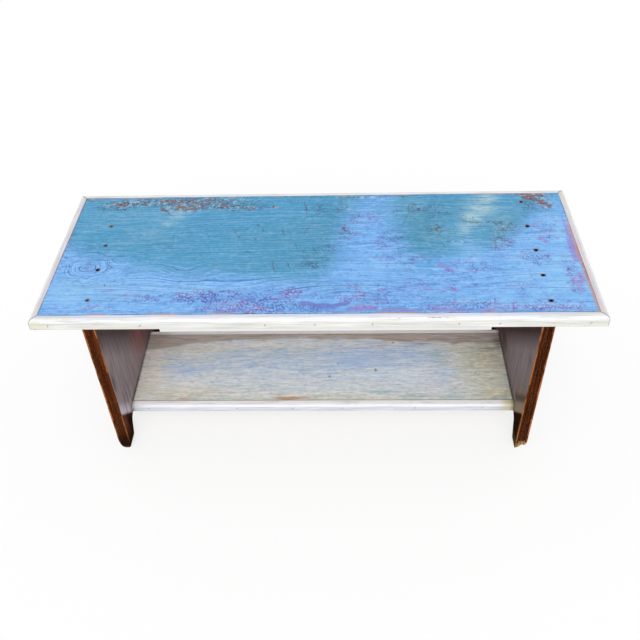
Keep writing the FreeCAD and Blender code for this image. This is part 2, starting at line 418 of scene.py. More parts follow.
def finish_material(tree, colour, roughness, height, height_mm, **shader):
    """Ends a material with one shader: its colour, its gloss and its relief."""
    bump = add_node(
        tree, "ShaderNodeBump", {"Height": height, "Distance": height_mm * MM, "Strength": 1.0},
    )
    inputs = {"Base Color": colour, "Roughness": roughness, "Normal": bump.outputs["Normal"]}
    inputs.update({key.replace("_", " "): value for key, value in shader.items()})
    surface = add_node(tree, "ShaderNodeBsdfPrincipled", inputs)
    add_node(tree, "ShaderNodeOutputMaterial", {"Surface": surface.outputs["BSDF"]})


def marks_on(tree, place, lines, wander_mm=5.0, faces="XY"):
    """Scratches and dents as one mask, ragged and with tapering ends. A line is (start, start, end,
    end, width), each pair along the face's two axes, in mm."""
    sides = add_node(tree, "ShaderNodeSeparateXYZ", {0: place}).outputs
    laid = add_node(tree, "ShaderNodeCombineXYZ", {"X": sides[faces[0]], "Y": sides[faces[1]]})
    flat = add_node(
        tree, "ShaderNodeVectorMath", {0: laid.outputs[0], 1: (1 / MM, 1 / MM, 0)},
        operation="MULTIPLY",
    ).outputs[0]
    noise = add_node(tree, "ShaderNodeTexNoise", {"Vector": flat, "Scale": 0.06, "Detail": 4.0})
    widest = (2 * wander_mm, 2 * wander_mm, 0)
    shift = add_node(
        tree, "ShaderNodeVectorMath",
        {0: noise.outputs["Color"], 1: widest, 2: (-wander_mm, -wander_mm, 0)},
        operation="MULTIPLY_ADD",
    )
    warped = add_node(
        tree, "ShaderNodeVectorMath", {0: flat, 1: shift.outputs[0]}, operation="ADD",
    ).outputs[0]
    nearest = 9.0
    for start_x, start_y, end_x, end_y, width in lines:
        half_run = math.hypot(end_x - start_x, end_y - start_y) / 2 + width / 2
        own = add_node(
            tree, "ShaderNodeMapping",
            {
                "Vector": warped,
                "Location": ((start_x + end_x) / 2, (start_y + end_y) / 2, 0),
                "Rotation": (0, 0, math.atan2(end_y - start_y, end_x - start_x)),
                "Scale": (half_run, width / 2, 1),
            },
            vector_type="TEXTURE",
        )
        reach = add_node(tree, "ShaderNodeVectorMath", {0: own.outputs[0]}, operation="LENGTH")
        nearest = add_node(
            tree, "ShaderNodeMath", {0: nearest, 1: reach.outputs["Value"]}, operation="MINIMUM",
        ).outputs[0]
    return product(tree, [(nearest, 1.25, 0.75)])


# Nails: where each head is, in mm, as the holes in the boards are, and how deep the painted shade
# in each hole in the top is

TOP_NAILS = [
    (-445.1, 169.4), (-449.5, 87.5), (-446.5, 19.6), (-445.0, -61.0), (-443.4, -153.6), (442.9, 161.9),
    (441.2, 72.6), (444.3, -9.2), (443.6, -89.0), (444.7, -164.1),
]
NAIL_HOLE_SHADE = (0.3, 0.55, 0.65, 1.0, 0.6, 0.8, 1.0, 1.0, 1.0, 1.0)
SHELF_NAILS_Y = (-80.6, -30.9, 18.8, 68.4)


# Plank top: where the photo shows each tone and each mark, in mm on the board. A spot is (x, y,
# half length, half width, turn in degrees, strength), a knot or swell (x, y, half length, half width,
# strength or height), and a nick or smear (start x, start y, end x, end y, width).

# The sky line and the spots below place painted reflections on the plank: sky blue in front of the line,
# and dimmed, bright and dark reflections and a painted sheen in the spots.
SKY_LINE = [
    (-532, 25), (-450, -25), (-300, -62), (-100, -92), (30, -92), (66, 120), (84, 230), (140, 230),
    (160, 60), (186, -24), (262, -34), (290, -4), (350, -2), (392, 14), (440, 84), (490, 170),
    (532, 210),
]
DIMMED_REFLECTION_SPOTS = [
    (112, 150, 50, 60, 0, 1.0), (112, 60, 60, 20, 0, 0.5), (500, 150, 50, 50, 0, 1.0),
    (-60, -176, 260, 22, 0, 0.5), (240, -150, 60, 30, 0, 0.5), (330, -170, 160, 20, 0, 0.4),
    (40, -140, 50, 40, 0, 0.4), (200, -64, 50, 36, 0, 0.85),
]
BRIGHT_REFLECTION_SPOTS = [
    (474, -90, 90, 120, 0, 1.0), (500, 50, 26, 100, 0, 0.9), (380, -164, 130, 36, 0, 0.6),
    (116, -66, 44, 44, 0, 0.5), (104, 100, 36, 70, 0, 0.1), (-450, -130, 170, 54, 0, 0.8),
    (314, -30, 36, 50, 0, 0.55), (-240, -124, 160, 24, 0, 0.5), (-180, -168, 300, 16, 0, 0.25),
]
DARK_REFLECTION_SPOTS = [
    (225, 60, 62, 90, 0, 0.85), (400, 90, 50, 60, 0, 0.6), (290, 150, 80, 50, 0, 0.5),
    (-30, -30, 120, 50, 0, 0.45), (-330, 30, 160, 60, 0, 0.2), (330, -150, 90, 26, 0, 0.4),
    (-240, 184, 340, 30, 0, 0.15), (200, -120, 70, 20, 0, 0.25), (350, -60, 20, 40, 0, 0.4),
    (484, 150, 50, 50, 0, 0.6), (0, 70, 80, 44, 0, 0.7), (388, 0, 56, 50, 0, 0.9),
    (98, 180, 50, 24, 0, 0.8), (-60, 40, 130, 60, 0, 0.5), (60, 120, 60, 40, 0, 0.4),
]
SHEEN_SPOTS = [
    (370, 176, 38, 24, 66, 0.95), (352, 140, 40, 30, 60, 1.0), (330, 104, 34, 24, 60, 0.95),
    (312, 70, 30, 16, 70, 0.7), (-312, 128, 36, 18, 60, 0.55), (-330, 96, 34, 14, 75, 0.38),
    (-360, 60, 60, 40, 0, 0.15), (388, 84, 34, 22, 60, 0.4), (200, 150, 40, 34, 0, 0.24),
    (392, 0, 50, 50, 0, 0.04), (-410, 130, 110, 50, 0, 0.14), (290, 50, 60, 34, 0, 0.12),
]
BARE_SPOTS = [
    (-300, 180, 230, 22, 0, 0.52), (-430, 172, 110, 24, 0, 0.50), (-345, 147, 36, 12, -30, 0.52),
    (-215, 160, 70, 26, 0, 0.51), (-98, 155, 12, 8, 0, 0.60), (-290, 156, 90, 30, 0, 0.52),
    (-155, 150, 50, 20, 0, 0.47), (-522, 188, 20, 14, 0, 0.50), (462, 178, 36, 16, -10, 0.60),
    (488, 160, 26, 22, -40, 0.60), (475, 185, 60, 12, 0, 0.56), (455, 190, 44, 8, 0, 0.58),
    (500, 146, 16, 18, 0, 0.55), (-522, 57, 12, 4, 0, 0.52), (-449, 170, 8, 8, 0, 0.62),
    (54, 66, 6, 16, 10, 0.60), (80, 188, 110, 6, 0, 0.50), (0, 195, 520, 3, 0, 0.42),
    (-110, -195, 220, 2.5, 0, 0.52), (528, -60, 4, 130, 0, 0.62), (-529, 0, 2.5, 190, 0, 0.46),
    (340, 92, 34, 6, -20, 0.44), (296, 108, 16, 6, -20, 0.44), (250, 68, 20, 9, -45, 0.54),
    (388, 66, 14, 10, 30, 0.46), (370, 20, 14, 34, 0, 0.40), (-10, 120, 60, 40, 0, 0.34),
]
ROSE_SPOTS = [
    (88, -181, 42, 12, 4, 0.84), (30, -189, 70, 8, 0, 0.52), (300, -186, 260, 12, 0, 0.52),
    (520, -6, 14, 66, 0, 0.74), (516, -96, 12, 40, 0, 0.60), (506, -120, 22, 70, 0, 0.50),
    (520, 60, 8, 90, 0, 0.54), (524, -20, 4, 210, 0, 0.58), (462, 30, 10, 9, 0, 0.78),
    (470, 20, 10, 8, 0, 0.74), (495, 30, 9, 7, 0, 0.58), (456, 73, 30, 6, 0, 0.56),
    (248, -56, 13, 8, 0, 0.76), (264, -71, 17, 8, -36, 0.74), (268, -132, 13, 8, 0, 0.66),
    (107, 109, 15, 6, 0, 0.62), (162, 25, 22, 5, 0, 0.56), (-60, -190, 60, 7, 0, 0.48),
    (-230, -176, 60, 12, 0, 0.44), (-499, -176, 13, 5, 0, 0.66), (-481, -175, 9, 4, 20, 0.66),
    (495, 175, 20, 30, 0, 0.44), (-410, -126, 34, 5, 6, 0.62), (170, -188, 120, 9, 0, 0.52),
    (-200, -150, 110, 24, 0, 0.40), (-100, -184, 60, 8, 0, 0.48), (-330, -160, 60, 6, 0, 0.44),
]
CRAZED_SPOTS = [
    (-200, -150, 160, 34, 0, 0.67), (-110, -176, 200, 26, 0, 0.65), (-120, -160, 130, 26, 0, 0.66),
    (-60, -136, 100, 30, 0, 0.60), (-320, -150, 130, 26, 0, 0.54), (-20, 190, 560, 10, 0, 0.46),
    (-430, -176, 100, 20, 0, 0.44), (100, -156, 150, 44, 0, 0.54), (300, -176, 300, 34, 0, 0.54),
    (440, -176, 120, 36, 0, 0.54), (500, -90, 30, 140, 0, 0.50), (-300, 172, 210, 34, 0, 0.62),
    (-180, 160, 110, 36, 0, 0.58), (-440, 160, 90, 34, 0, 0.56), (-11, -46, 46, 36, 0, 0.56),
    (0, 0, 90, 60, 0, 0.44), (248, 61, 36, 32, 0, 0.56), (230, 130, 130, 54, 0, 0.50),
    (380, 20, 44, 80, 0, 0.52), (395, 70, 54, 44, 0, 0.54), (330, 96, 74, 26, -25, 0.48),
    (475, 150, 50, 46, 0, 0.60), (150, 26, 66, 44, 0, 0.52), (93, 107, 80, 56, 0, 0.50),
    (443, -30, 60, 60, 0, 0.50), (480, 60, 54, 70, 0, 0.50), (60, 60, 50, 60, 0, 0.48),
    (20, 150, 90, 50, 0, 0.48), (160, -30, 120, 60, 0, 0.44), (300, -60, 130, 70, 0, 0.44),
    (-150, 60, 120, 50, 0, 0.32), (-100, -60, 140, 40, 0, 0.34), (420, -120, 80, 50, 0, 0.46),
    (-466, -54, 50, 40, 0, 0.40), (-520, 30, 20, 60, 0, 0.40), (200, -120, 300, 40, 0, 0.46),
]
KNOTS = [(-466, -54, 80, 60, 1.0), (433, -30, 22, 18, 0.9), (290, 24, 30, 18, 0.7)]
SWELLS = [
    (-466, -150, 150, 30, -14), (-262, -70, 40, 24, 16), (-330, -60, 26, 20, -9),
    (-210, -60, 30, 24, -14), (-160, -120, 120, 26, 20), (60, -124, 130, 22, -18),
    (250, -96, 90, 30, 22), (-420, 70, 120, 50, 24), (180, 40, 90, 50, -22), (330, 130, 120, 40, 20),
    (-60, 150, 120, 30, -16),
]
NICKS = [
    (-35, 174, -24, 123, 3.0), (-2, 159, 4, 135, 1.8), (34, 152, 45, 138, 1.8),
    (197, 162, 193, 120, 2.0), (193, 120, 181, 85, 1.8), (-77, 69, -70, 50, 3.4),
    (-21, 82, -29, 53, 2.0), (-133, 89, -130, 82, 2.6), (-91, -38, -84, -73, 2.4),
    (-308, 61, -304, 5, 1.2), (-350, 155, -326, 128, 3.6), (372, 90, 385, 65, 2.0),
    (380, 61, 394, 60, 4.2), (367, 50, 363, -16, 2.0), (293, 107, 322, 90, 2.2),
    (322, 90, 356, 86, 2.0), (-186, 78, -168, 47, 1.6), (-168, 47, -167, 44, 5.0),
    (-147, -5, -143, -6, 4.0), (-262, 88, -252, 84, 2.2), (-213, 89, -209, 88, 3.0),
    (-120, 76, -118, 66, 2.2), (52, 74, 60, 60, 4.4), (-48, 20, -44, 6, 2.0), (-10, 10, -4, -6, 1.8),
    (411, 89, 396, 65, 2.0), (380, 24, 392, 22, 3.4), (257, 14, 262, -2, 1.8),
    (-478, 176, -482, 120, 1.6), (120, -120, 124, -114, 3.0), (-60, -44, -58, -56, 3.0),
    (150, 62, 170, 60, 1.6), (20, 120, 46, 112, 1.4), (-240, 60, -228, 40, 1.2),
    (300, -92, 308, -104, 1.6), (-420, -106, -418, -112, 2.6),
]
CARVED_SPOTS = [
    (-466, -54, 90, 70, 0, 1.0), (-280, -72, 150, 44, 0, 0.9), (-120, -112, 420, 34, 0, 1.0),
    (-380, -140, 120, 30, 0, 0.8), (250, -80, 240, 50, 0, 0.6), (-300, 0, 240, 70, 0, 0.45),
    (433, -30, 50, 40, 0, 0.5), (-200, 130, 340, 60, 0, 0.3), (200, 60, 200, 80, 0, 0.4),
    (290, 24, 50, 30, 0, 0.7),
]
FRONT_WEAR = [
    (-418, 0, 22, 1, 0, 1.0), (-290, 0, 34, 1, 0, 1.0), (-175, 0, 26, 1, 0, 1.0),
    (153, 0, 44, 1, 0, 1.0), (325, 0, 16, 1, 0, 0.9),
]
SMEAR = [(-26, -164, -4, -171, 13.0), (-4, -174, 34, -176, 16.0), (30, -175, 58, -167, 12.0)]
PLANK_TINTS = (
    ("bright", BRIGHT_REFLECTION_SPOTS), ("dark_reflection", DARK_REFLECTION_SPOTS), ("pale", SHEEN_SPOTS), ("bare", BARE_SPOTS),
    ("rose", ROSE_SPOTS),
)


def plank_figure(x, y, spacing):
    """The plank's growth rings as a phase: a ring wherever it is a whole number. All in mm."""
    figure = y + 14 * rough(x / 240, y / 80, 11) + 4 * rough(x / 46, y / 16, 12)
    for swell_x, swell_y, along, across, height in SWELLS:
        away = ((x - swell_x) / along) ** 2 + ((y - swell_y) / across) ** 2
        figure = figure + height * np.exp(-away)
    for knot_x, knot_y, along, across, hold in KNOTS:
        ragged = 1 + 0.5 * (rough(x / 22, y / 18, 13) - 0.5)
        reach = np.hypot((x - knot_x) / along, (y - knot_y) / across) * ragged
        share = hold * np.exp(-reach ** 6)
        figure = figure * (1 - share) + (knot_y + reach * across * 1.1) * share
    return figure / spacing


def crackle(tree, place, cell_mm):
    """How far a place is from the nearest crack, in cells, with the cells' edges bent."""
    noise = add_node(tree, "ShaderNodeTexNoise", {"Vector": place, "Scale": 180.0})
    bent = add_node(
        tree, "ShaderNodeVectorMath",
        {0: noise.outputs["Color"], 1: (6 * MM, 6 * MM, 0), 2: place}, operation="MULTIPLY_ADD",
    ).outputs[0]
    shares = (1 / (cell_mm[0] * MM), 1 / (cell_mm[1] * MM), 0)
    cells = add_node(
        tree, "ShaderNodeVectorMath", {0: bent, 1: shares}, operation="MULTIPLY",
    ).outputs[0]
    return add_node(
        tree, "ShaderNodeTexVoronoi", {"Vector": cells, "Scale": 1.0}, feature="DISTANCE_TO_EDGE",
        voronoi_dimensions="2D",
    ).outputs["Distance"]


def ring_lines(tree, figure, shift, share):
    """How far a place is from the nearest growth ring, after the rings are moved or thinned out."""
    phase = add_node(
        tree, "ShaderNodeMath", {0: figure, 1: share, 2: shift}, operation="MULTIPLY_ADD",
    ).outputs[0]
    return add_node(tree, "ShaderNodeMath", {0: phase, 1: 0.5}, operation="PINGPONG").outputs[0]


def painted_plank(colours):
    """Brushed milk paint, aged over a rose undercoat on pine: matt and chalky, its raised grain and
    brush lines picked out with painted highlights and painted shade, its blue varied by painted
    reflections of the sky and of dark surroundings and by a painted sheen, crazed and chipped to the
    undercoat, and flaked to wood at the back."""
    material, tree, place, stored = new_material(
        "Aged blue milk paint, brushed and crazed",
        (
            "figure", "sky", "bright", "dark_reflection", "pale", "bare", "rose", "crazed", "joint", "carved",
            "rim", "bore",
        ),
    )
    # Brush lines and crackle are finer than this on the real paint. The streaks are drawn 4 to 6 mm
    # wide, and the crackle's cells 6 to 9 mm, so that they show in the render.
    brushed = grain(tree, place, (36, 6.0, 40), 4.0)
    streaky = grain(tree, place, (80, 4.4, 40), 3.0, 12.6)
    ticks = grain(tree, place, (8.0, 5.4, 8.0), 2.0, 15.1)
    soft = grain(tree, place, (60, 26, 40), 4.0, 3.1)
    speckle = grain(tree, place, (5.0, 4.6, 5.0), 3.0, 7.7)
    chip_noise = grain(tree, place, (9.0, 5.4, 10.0), 4.5, 1.3)
    gate = grain(tree, place, (26.0, 17.0, 9.0), 3.0, 9.4)
    crack = crackle(tree, place, (6.4, 9.0))
    # Lines on the growth rings: ring_dark is painted shade in the raised grain's hollows, ring_lit its
    # painted highlight, bold_dark a bolder painted shade on fewer rings.
    ring_dark = product(tree, [(ring_lines(tree, stored["figure"], 0.0, 1.0), 0.16, 0.03)])
    ring_lit = product(tree, [(ring_lines(tree, stored["figure"], 0.22, 1.0), 0.18, 0.03)])
    bold_ring = ring_lines(tree, stored["figure"], 0.0, 0.4)
    bold_dark = product(tree, [(bold_ring, 0.09, 0.03), (soft, 0.36, 0.5)])
    # How much painted sky reflection the paint shows, and its mask.
    sky_reflection_share = pile(tree, [(stored["sky"], 1.0), (soft, 0.5), (brushed, 0.25), (1.0, -0.375)])
    sky_reflection_mask = product(tree, [(sky_reflection_share, 0.12, 0.88)])
    streak_depth = pile(tree, [(sky_reflection_mask, 0.42), (stored["bright"], -0.5), (soft, 0.5), (1.0, 0.23)])
    crazed_here = product(tree, [(pile(tree, [(stored["crazed"], 1.0), (gate, 1.0)]), 0.86, 1.16)])
    crazing = product(tree, [(crack, 0.26, 0.10), (speckle, 0.38, 0.50), crazed_here])
    specks = product(tree, [(speckle, 0.52, 0.60), crazed_here])
    rose_chips = flakes(tree, pile(tree, [(chip_noise, 0.55), (soft, 0.45)]), stored["rose"], 0.09)
    bare_chips = flakes(tree, chip_noise, stored["bare"], 0.03)
    bare_rims = flakes(tree, chip_noise, pile(tree, [(stored["bare"], 1.0), (1.0, 0.03)]), 0.03)
    bare_specks = flakes(tree, pile(tree, [(speckle, 0.5), (chip_noise, 0.5)]), stored["bare"], 0.03)
    rubbed = product(tree, [(ticks, 0.50, 0.60), (stored["bare"], 0.25, 0.5)])
    nicks = marks_on(tree, place, NICKS)
    rings = [(x - 3.5 * (x > 0), y + 2.0, x + 1.0, y, 9.0) for x, y in TOP_NAILS]
    halo = marks_on(tree, place, rings, 2.5)
    smear = marks_on(tree, place, SMEAR, 3.0)
    under = underside(tree)
    # Dirt in the crackle, bluer under the painted sky reflection.
    dirt = coats(tree, linear("44566E"), [
        ([sky_reflection_mask], linear("5A66B8")),
        ([sky_reflection_mask, (soft, 0.44, 0.56)], linear("885AAA")),
    ])
    # Teal, with painted dark reflection and painted sky reflection over it, and a painted sheen.
    blue = coats(tree, colours.teal, [
        ([stored["dark_reflection"], 0.8], colours.dark_reflection_teal),
        ([sky_reflection_mask], colours.sky),
        ([stored["bright"], (soft, 0.25, 0.6)], colours.bright),
        # Painted sheen on the blue.
        ([stored["pale"], (brushed, 0.2, 0.6), 0.8], colours.pale),
        # The light brush streaks are painted highlights on the brush lines.
        ([(brushed, 0.50, 0.64), streak_depth, 0.26], linear("B4DCFF")),
        ([(streaky, 0.54, 0.68), streak_depth, 0.28], linear("B4DCFF")),
        ([(ticks, 0.54, 0.70), streak_depth, 0.34], linear("C0E2FF")),
        ([(brushed, 0.48, 0.34), streak_depth, 0.28], linear("347CB6")),
        ([(streaky, 0.45, 0.31), streak_depth, 0.28], linear("3076AC")),
        ([(ticks, 0.45, 0.30), streak_depth, 0.46], linear("30689E")),
        # Painted highlight and painted shade of the raised grain.
        ([ring_lit, stored["carved"], 0.45], linear("B4DAFF")),
        ([ring_dark, stored["carved"], 0.50], linear("386FA2")),
        ([bold_dark, stored["carved"], 0.85], linear("3A6AA8")),
        ([smear, 0.72], linear("6A72C2")),
        ([rose_chips, 0.62], colours.rose),
        ([rose_chips, (speckle, 0.54, 0.64), 0.25], colours.plum),
        ([specks, 0.62], dirt),
        ([crazing, 0.90], dirt),
        ([rubbed, 0.6], linear("B4DCEC")),
        ([bare_rims, 0.40], linear("4E5666")),
        ([bare_specks, 0.85], linear("54464E")),
        ([bare_chips, 0.8], colours.bare_pine),
        ([bare_chips, (speckle, 0.52, 0.62), 0.4], linear("6A4A4C")),
        ([nicks, 0.55], colours.scratch),
        ([halo, 0.65], linear("A88E88")),
        ([stored["rim"], 0.85], linear("C4948C")),
        ([stored["joint"], 0.8], linear("564A66")),
        # Painted shade inside the nail holes.
        ([stored["bore"]], linear("120D10")),
        ([under], colours.old_pine),
        ([under, (brushed, 0.4, 0.65), 0.4], linear("7B6148")),
    ])
    height = pile(tree, [
        (brushed, 0.6), (ring_dark, product(tree, [stored["carved"], -0.8])),
        (rose_chips, -0.3), (bare_chips, -0.6), (crazing, -0.5), (speckle, 0.2),
    ])
    roughness = pile(tree, [(brushed, 0.2), (bare_chips, 0.25), (1.0, 0.42)])
    finish_material(tree, blue, roughness, height, 0.5, Specular_IOR_Level=0.2)
    return material


def sky_share(x, y):
    """How much painted sky reflection the paint shows: 0 behind the sky line, 1 in front, blended over a
    ragged band.
    """
    half_blend = 46
    wander = 40 * (rough(x / 80, y / 22, 21) - 0.5)
    aside = 30 * (rough(x / 40, y / 60, 22) - 0.5)
    shifts = (-30, -20, -10, 0, 10, 20, 30)
    total = 0
    for shift in shifts:
        line = np.interp(x + aside + shift, *zip(*SKY_LINE))
        total = total + ramp(line - y + wander, -half_blend, half_blend)
    return total / len(shifts) * (1 - 0.36 * spots(x, y, DIMMED_REFLECTION_SPOTS))


def plank_relief(points, x, y, inside, top, sizes):
    """Sinks the plank's top between its growth rings. Gives the rings' phase and how boldly the
    paint shows them."""
    figure = plank_figure(x, y, sizes.ring_spacing / MM)
    uneven = 0.2 + 1.3 * rough(x / 60, y / 14, 14)
    carved = np.clip(np.maximum(spots(x, y, CARVED_SPOTS), 0.4) * uneven, 0, 1)
    ring = np.abs(figure - np.round(figure)) * 2
    sunk = 0.35 * rough(x / 180, y / 60, 15) + 0.65 * ring * (0.3 + 0.7 * carved)
    hollow = sizes.relief * sunk * ramp(inside, 0.5, 8)
    points[:, 2] -= np.where(points[:, 2] > top - HAIR, hollow, 0)
    return figure, carved


def plank_edges(x, y, low, high):
    """How far the plank's rim is worn to pale wood, and how dark the joint beside it is. In mm."""
    from_front = y - low.y / MM
    from_back = high.y / MM - y
    from_right = high.x / MM - x
    worn_back = ramp(from_back, 4.5, 1.5) * ramp(rough(x / 45, y * 0, 24), 0.42, 0.6)
    worn_front = ramp(from_front, 5.0, 2.5) * ramp(spots(x, x * 0, FRONT_WEAR), 0.35, 0.6)
    nibbled = 0.9 + 0.5 * (rough(x / 9, y / 14, 26) - 0.5)
    worn_right = ramp(from_right, 7.5, 5.0) * ramp(y, 110, 60) * nibbled
    inside = np.minimum(np.minimum(from_front, from_back), np.minimum(from_right, x - low.x / MM))
    covered = ramp(inside, 2.0, 0.6) * ramp(rough(x / 30, y / 30, 23), 0.2, 0.5)
    rim = np.maximum(np.maximum(worn_back, worn_front), worn_right)
    return rim, covered * (1 - 0.75 * np.maximum(worn_front, worn_right))


def nail_holes(points, x, y, underside_z, sizes):
    """How much painted shade each point in a nail's hole gets."""
    away = np.array([np.hypot(x - nail_x, y - nail_y) for nail_x, nail_y in TOP_NAILS])
    in_hole = (away.min(axis=0) < sizes.nail_bore / 2 / MM + 0.2) & (points[:, 2] > underside_z + HAIR)
    return in_hole * np.array(NAIL_HOLE_SHADE)[away.argmin(axis=0)]


class BENCH_OT_plank_top(bpy.types.Operator):
    """Adds the painted plank with its raised grain and the holes above its set nails"""
    bl_idname = "bench.plank_top"
    bl_label = "Plank top"

    def execute(self, context):
        sizes = context.scene.bench_sizes
        low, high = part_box("top_board")
        size = (high.x - low.x, high.y - low.y)
        plank = grid_sheet("plank_top", (0, 0, high.z), size, sizes.cell)
        ease = sizes.ease
        cut_loops(plank, 0, arris_cuts(low.x, high.x, ease))
        cut_loops(plank, 1, arris_cuts(low.y, high.y, ease))
        nails = [(x * MM, y * MM, high.z) for x, y in TOP_NAILS]
        sink_holes(plank, nails, sizes.nail_bore / 2, (0, 0, -sizes.nail_seat), sizes.cell)
        extrude_rim(plank, high.z - low.z, ease)
        points = points_of(plank)
        x = points[:, 0] / MM
        y = points[:, 1] / MM
        inside = np.minimum(high.x / MM - np.abs(x), high.y / MM - np.abs(y))
        figure, carved = plank_relief(points, x, y, inside, high.z, sizes)
        for axis, place, way in ((0, low.x, 1), (0, high.x, -1), (1, low.y, 1), (1, high.y, -1)):
            ease_arris(points, (axis, place, way), (2, high.z, -1), ease, ease)
        set_points(plank, points)
        tint(plank, "figure", figure)
        tint(plank, "carved", carved)
        tint(plank, "sky", sky_share(x, y))
        for name, marks in PLANK_TINTS:
            tint(plank, name, spots(x, y, marks))
        tint(plank, "crazed", np.maximum(spots(x, y, CRAZED_SPOTS), 0.26))
        rim, joint = plank_edges(x, y, low, high)
        tint(plank, "rim", rim)
        tint(plank, "joint", joint)
        tint(plank, "bore", nail_holes(points, x, y, low.z, sizes))
        finish_piece(plank, painted_plank(context.scene.bench_colours), "blue_paint", "top_board")
        return {"FINISHED"}


# Mouldings

def strip(name, length, width, height, flat, quirk, nose, seed):
    """A straight moulding along X: its back on the X-Z plane, its nose towards -Y, its top at
    height. Its paint is a little uneven."""
    lengthwise_cuts = 100
    paint_bulge = 0.25 * MM
    paint_sag = 0.2 * MM
    foot_round = 2 * MM
    deselect()
    bpy.ops.mesh.primitive_cube_add(size=1, location=(0, -width / 2, height / 2))
    piece = bpy.context.object
    piece.scale = (length, width, height)
    bpy.ops.object.transform_apply(location=True, rotation=True, scale=True)
    piece.name = name
    piece.data.name = name
    edit(piece)
    bpy.ops.mesh.select_mode(type="EDGE")
    bpy.ops.mesh.select_all(action="DESELECT")
    mesh = bmesh.from_edit_mesh(piece.data)
    for edge in mesh.edges:
        run = edge.verts[0].co - edge.verts[1].co
        edge.select_set(abs(run.x) > length / 2)
    bmesh.update_edit_mesh(piece.data)
    bpy.ops.mesh.subdivide(number_cuts=lengthwise_cuts)
    leave_edit()
    nose_width = width - flat
    across = [-flat, -flat - quirk]
    across += [-flat - nose_width * share for share in (0.3, 0.5, 0.7, 0.86)]
    up = [height - nose * share for share in (0.12, 0.28, 0.46, 0.66, 0.86, 1.05)]
    up += [foot_round, foot_round / 3]
    cut_loops(piece, 1, across + [-width + foot_round, -width + foot_round / 3])
    cut_loops(piece, 2, up)
    points = points_of(piece)
    top = points[:, 2] > height - HAIR
    beyond = points[:, 1] < -flat - quirk / 2
    ease_arris(points, (1, -width, 1), (2, height, -1), nose_width - quirk, nose)
    ease_arris(points, (1, -width, 1), (2, 0.0, 1), foot_round, foot_round)
    points[:, 2] -= np.where(top & beyond, quirk, 0)
    x = points[:, 0] / (14 * MM)
    bulge = paint_bulge * rough(x, points[:, 2] / (6 * MM), seed, 2)
    points[:, 1] += np.where(points[:, 1] < -flat, bulge, 0)
    sag = paint_sag * rough(x * 0.7, points[:, 1] * 0, seed + 1, 2)
    points[:, 2] -= np.where(points[:, 2] > height / 2, sag, 0)
    set_points(piece, points)
    return piece


def saw_end(piece, place, normal):
    """Saws the piece off at a plane, keeps the side behind it and closes the cut."""
    edit(piece)
    inward = -Vector(normal).normalized()
    for inset in (4 * MM, 1.2 * MM, 0.5 * MM):
        bpy.ops.mesh.select_all(action="SELECT")
        bpy.ops.mesh.bisect(plane_co=Vector(place) + inward * inset, plane_no=normal)
    bpy.ops.mesh.select_all(action="SELECT")
    bpy.ops.mesh.bisect(plane_co=place, plane_no=normal, clear_outer=True, use_fill=True)
    bpy.ops.mesh.select_all(action="SELECT")
    bpy.ops.mesh.normals_make_consistent(inside=False)
    leave_edit()


def put(piece, turn, place):
    """Turns a piece about the vertical and sets it in its place, all in its mesh."""
    piece.rotation_euler = (0, 0, turn)
    piece.location = place
    deselect()
    piece.select_set(True)
    bpy.context.view_layer.objects.active = piece
    bpy.ops.object.transform_apply(location=True, rotation=True, scale=True)


# Brads: a place along the moulding and how far the dash over it leans, in mm

FRONT_BRADS = [
    (-509.3, 1), (-334.2, 4), (-95.5, 1), (-2.0, 2), (106.1, 1), (268.0, 0), (342.2, 3), (509.3, 4),
]
SIDE_BRADS = [(-157.2, 0), (-55.0, 0), (51.1, 0), (155.2, 0)]
SHELF_BRADS = [(-392.7, 1), (-191.2, 1), (-65.2, 1), (47.0, 1), (209.3, 1), (359.4, 1)]
TOP_BRAD_HEIGHTS = (404, 407)
SHELF_BRAD_HEIGHTS = (66, 68)
DASH_WIDTH = 2.8
NOSE_WEAR_SPOTS = [(238, -10, 26, 1.6, 0, 0.36), (150, -11, 40, 1.4, 0, 0.28)]


def brad_dashes(brads, heights):
    """The dash that fills the hole over each brad, as a line for marks_on."""
    return [(place, heights[0], place + lean, heights[1], DASH_WIDTH) for place, lean in brads]


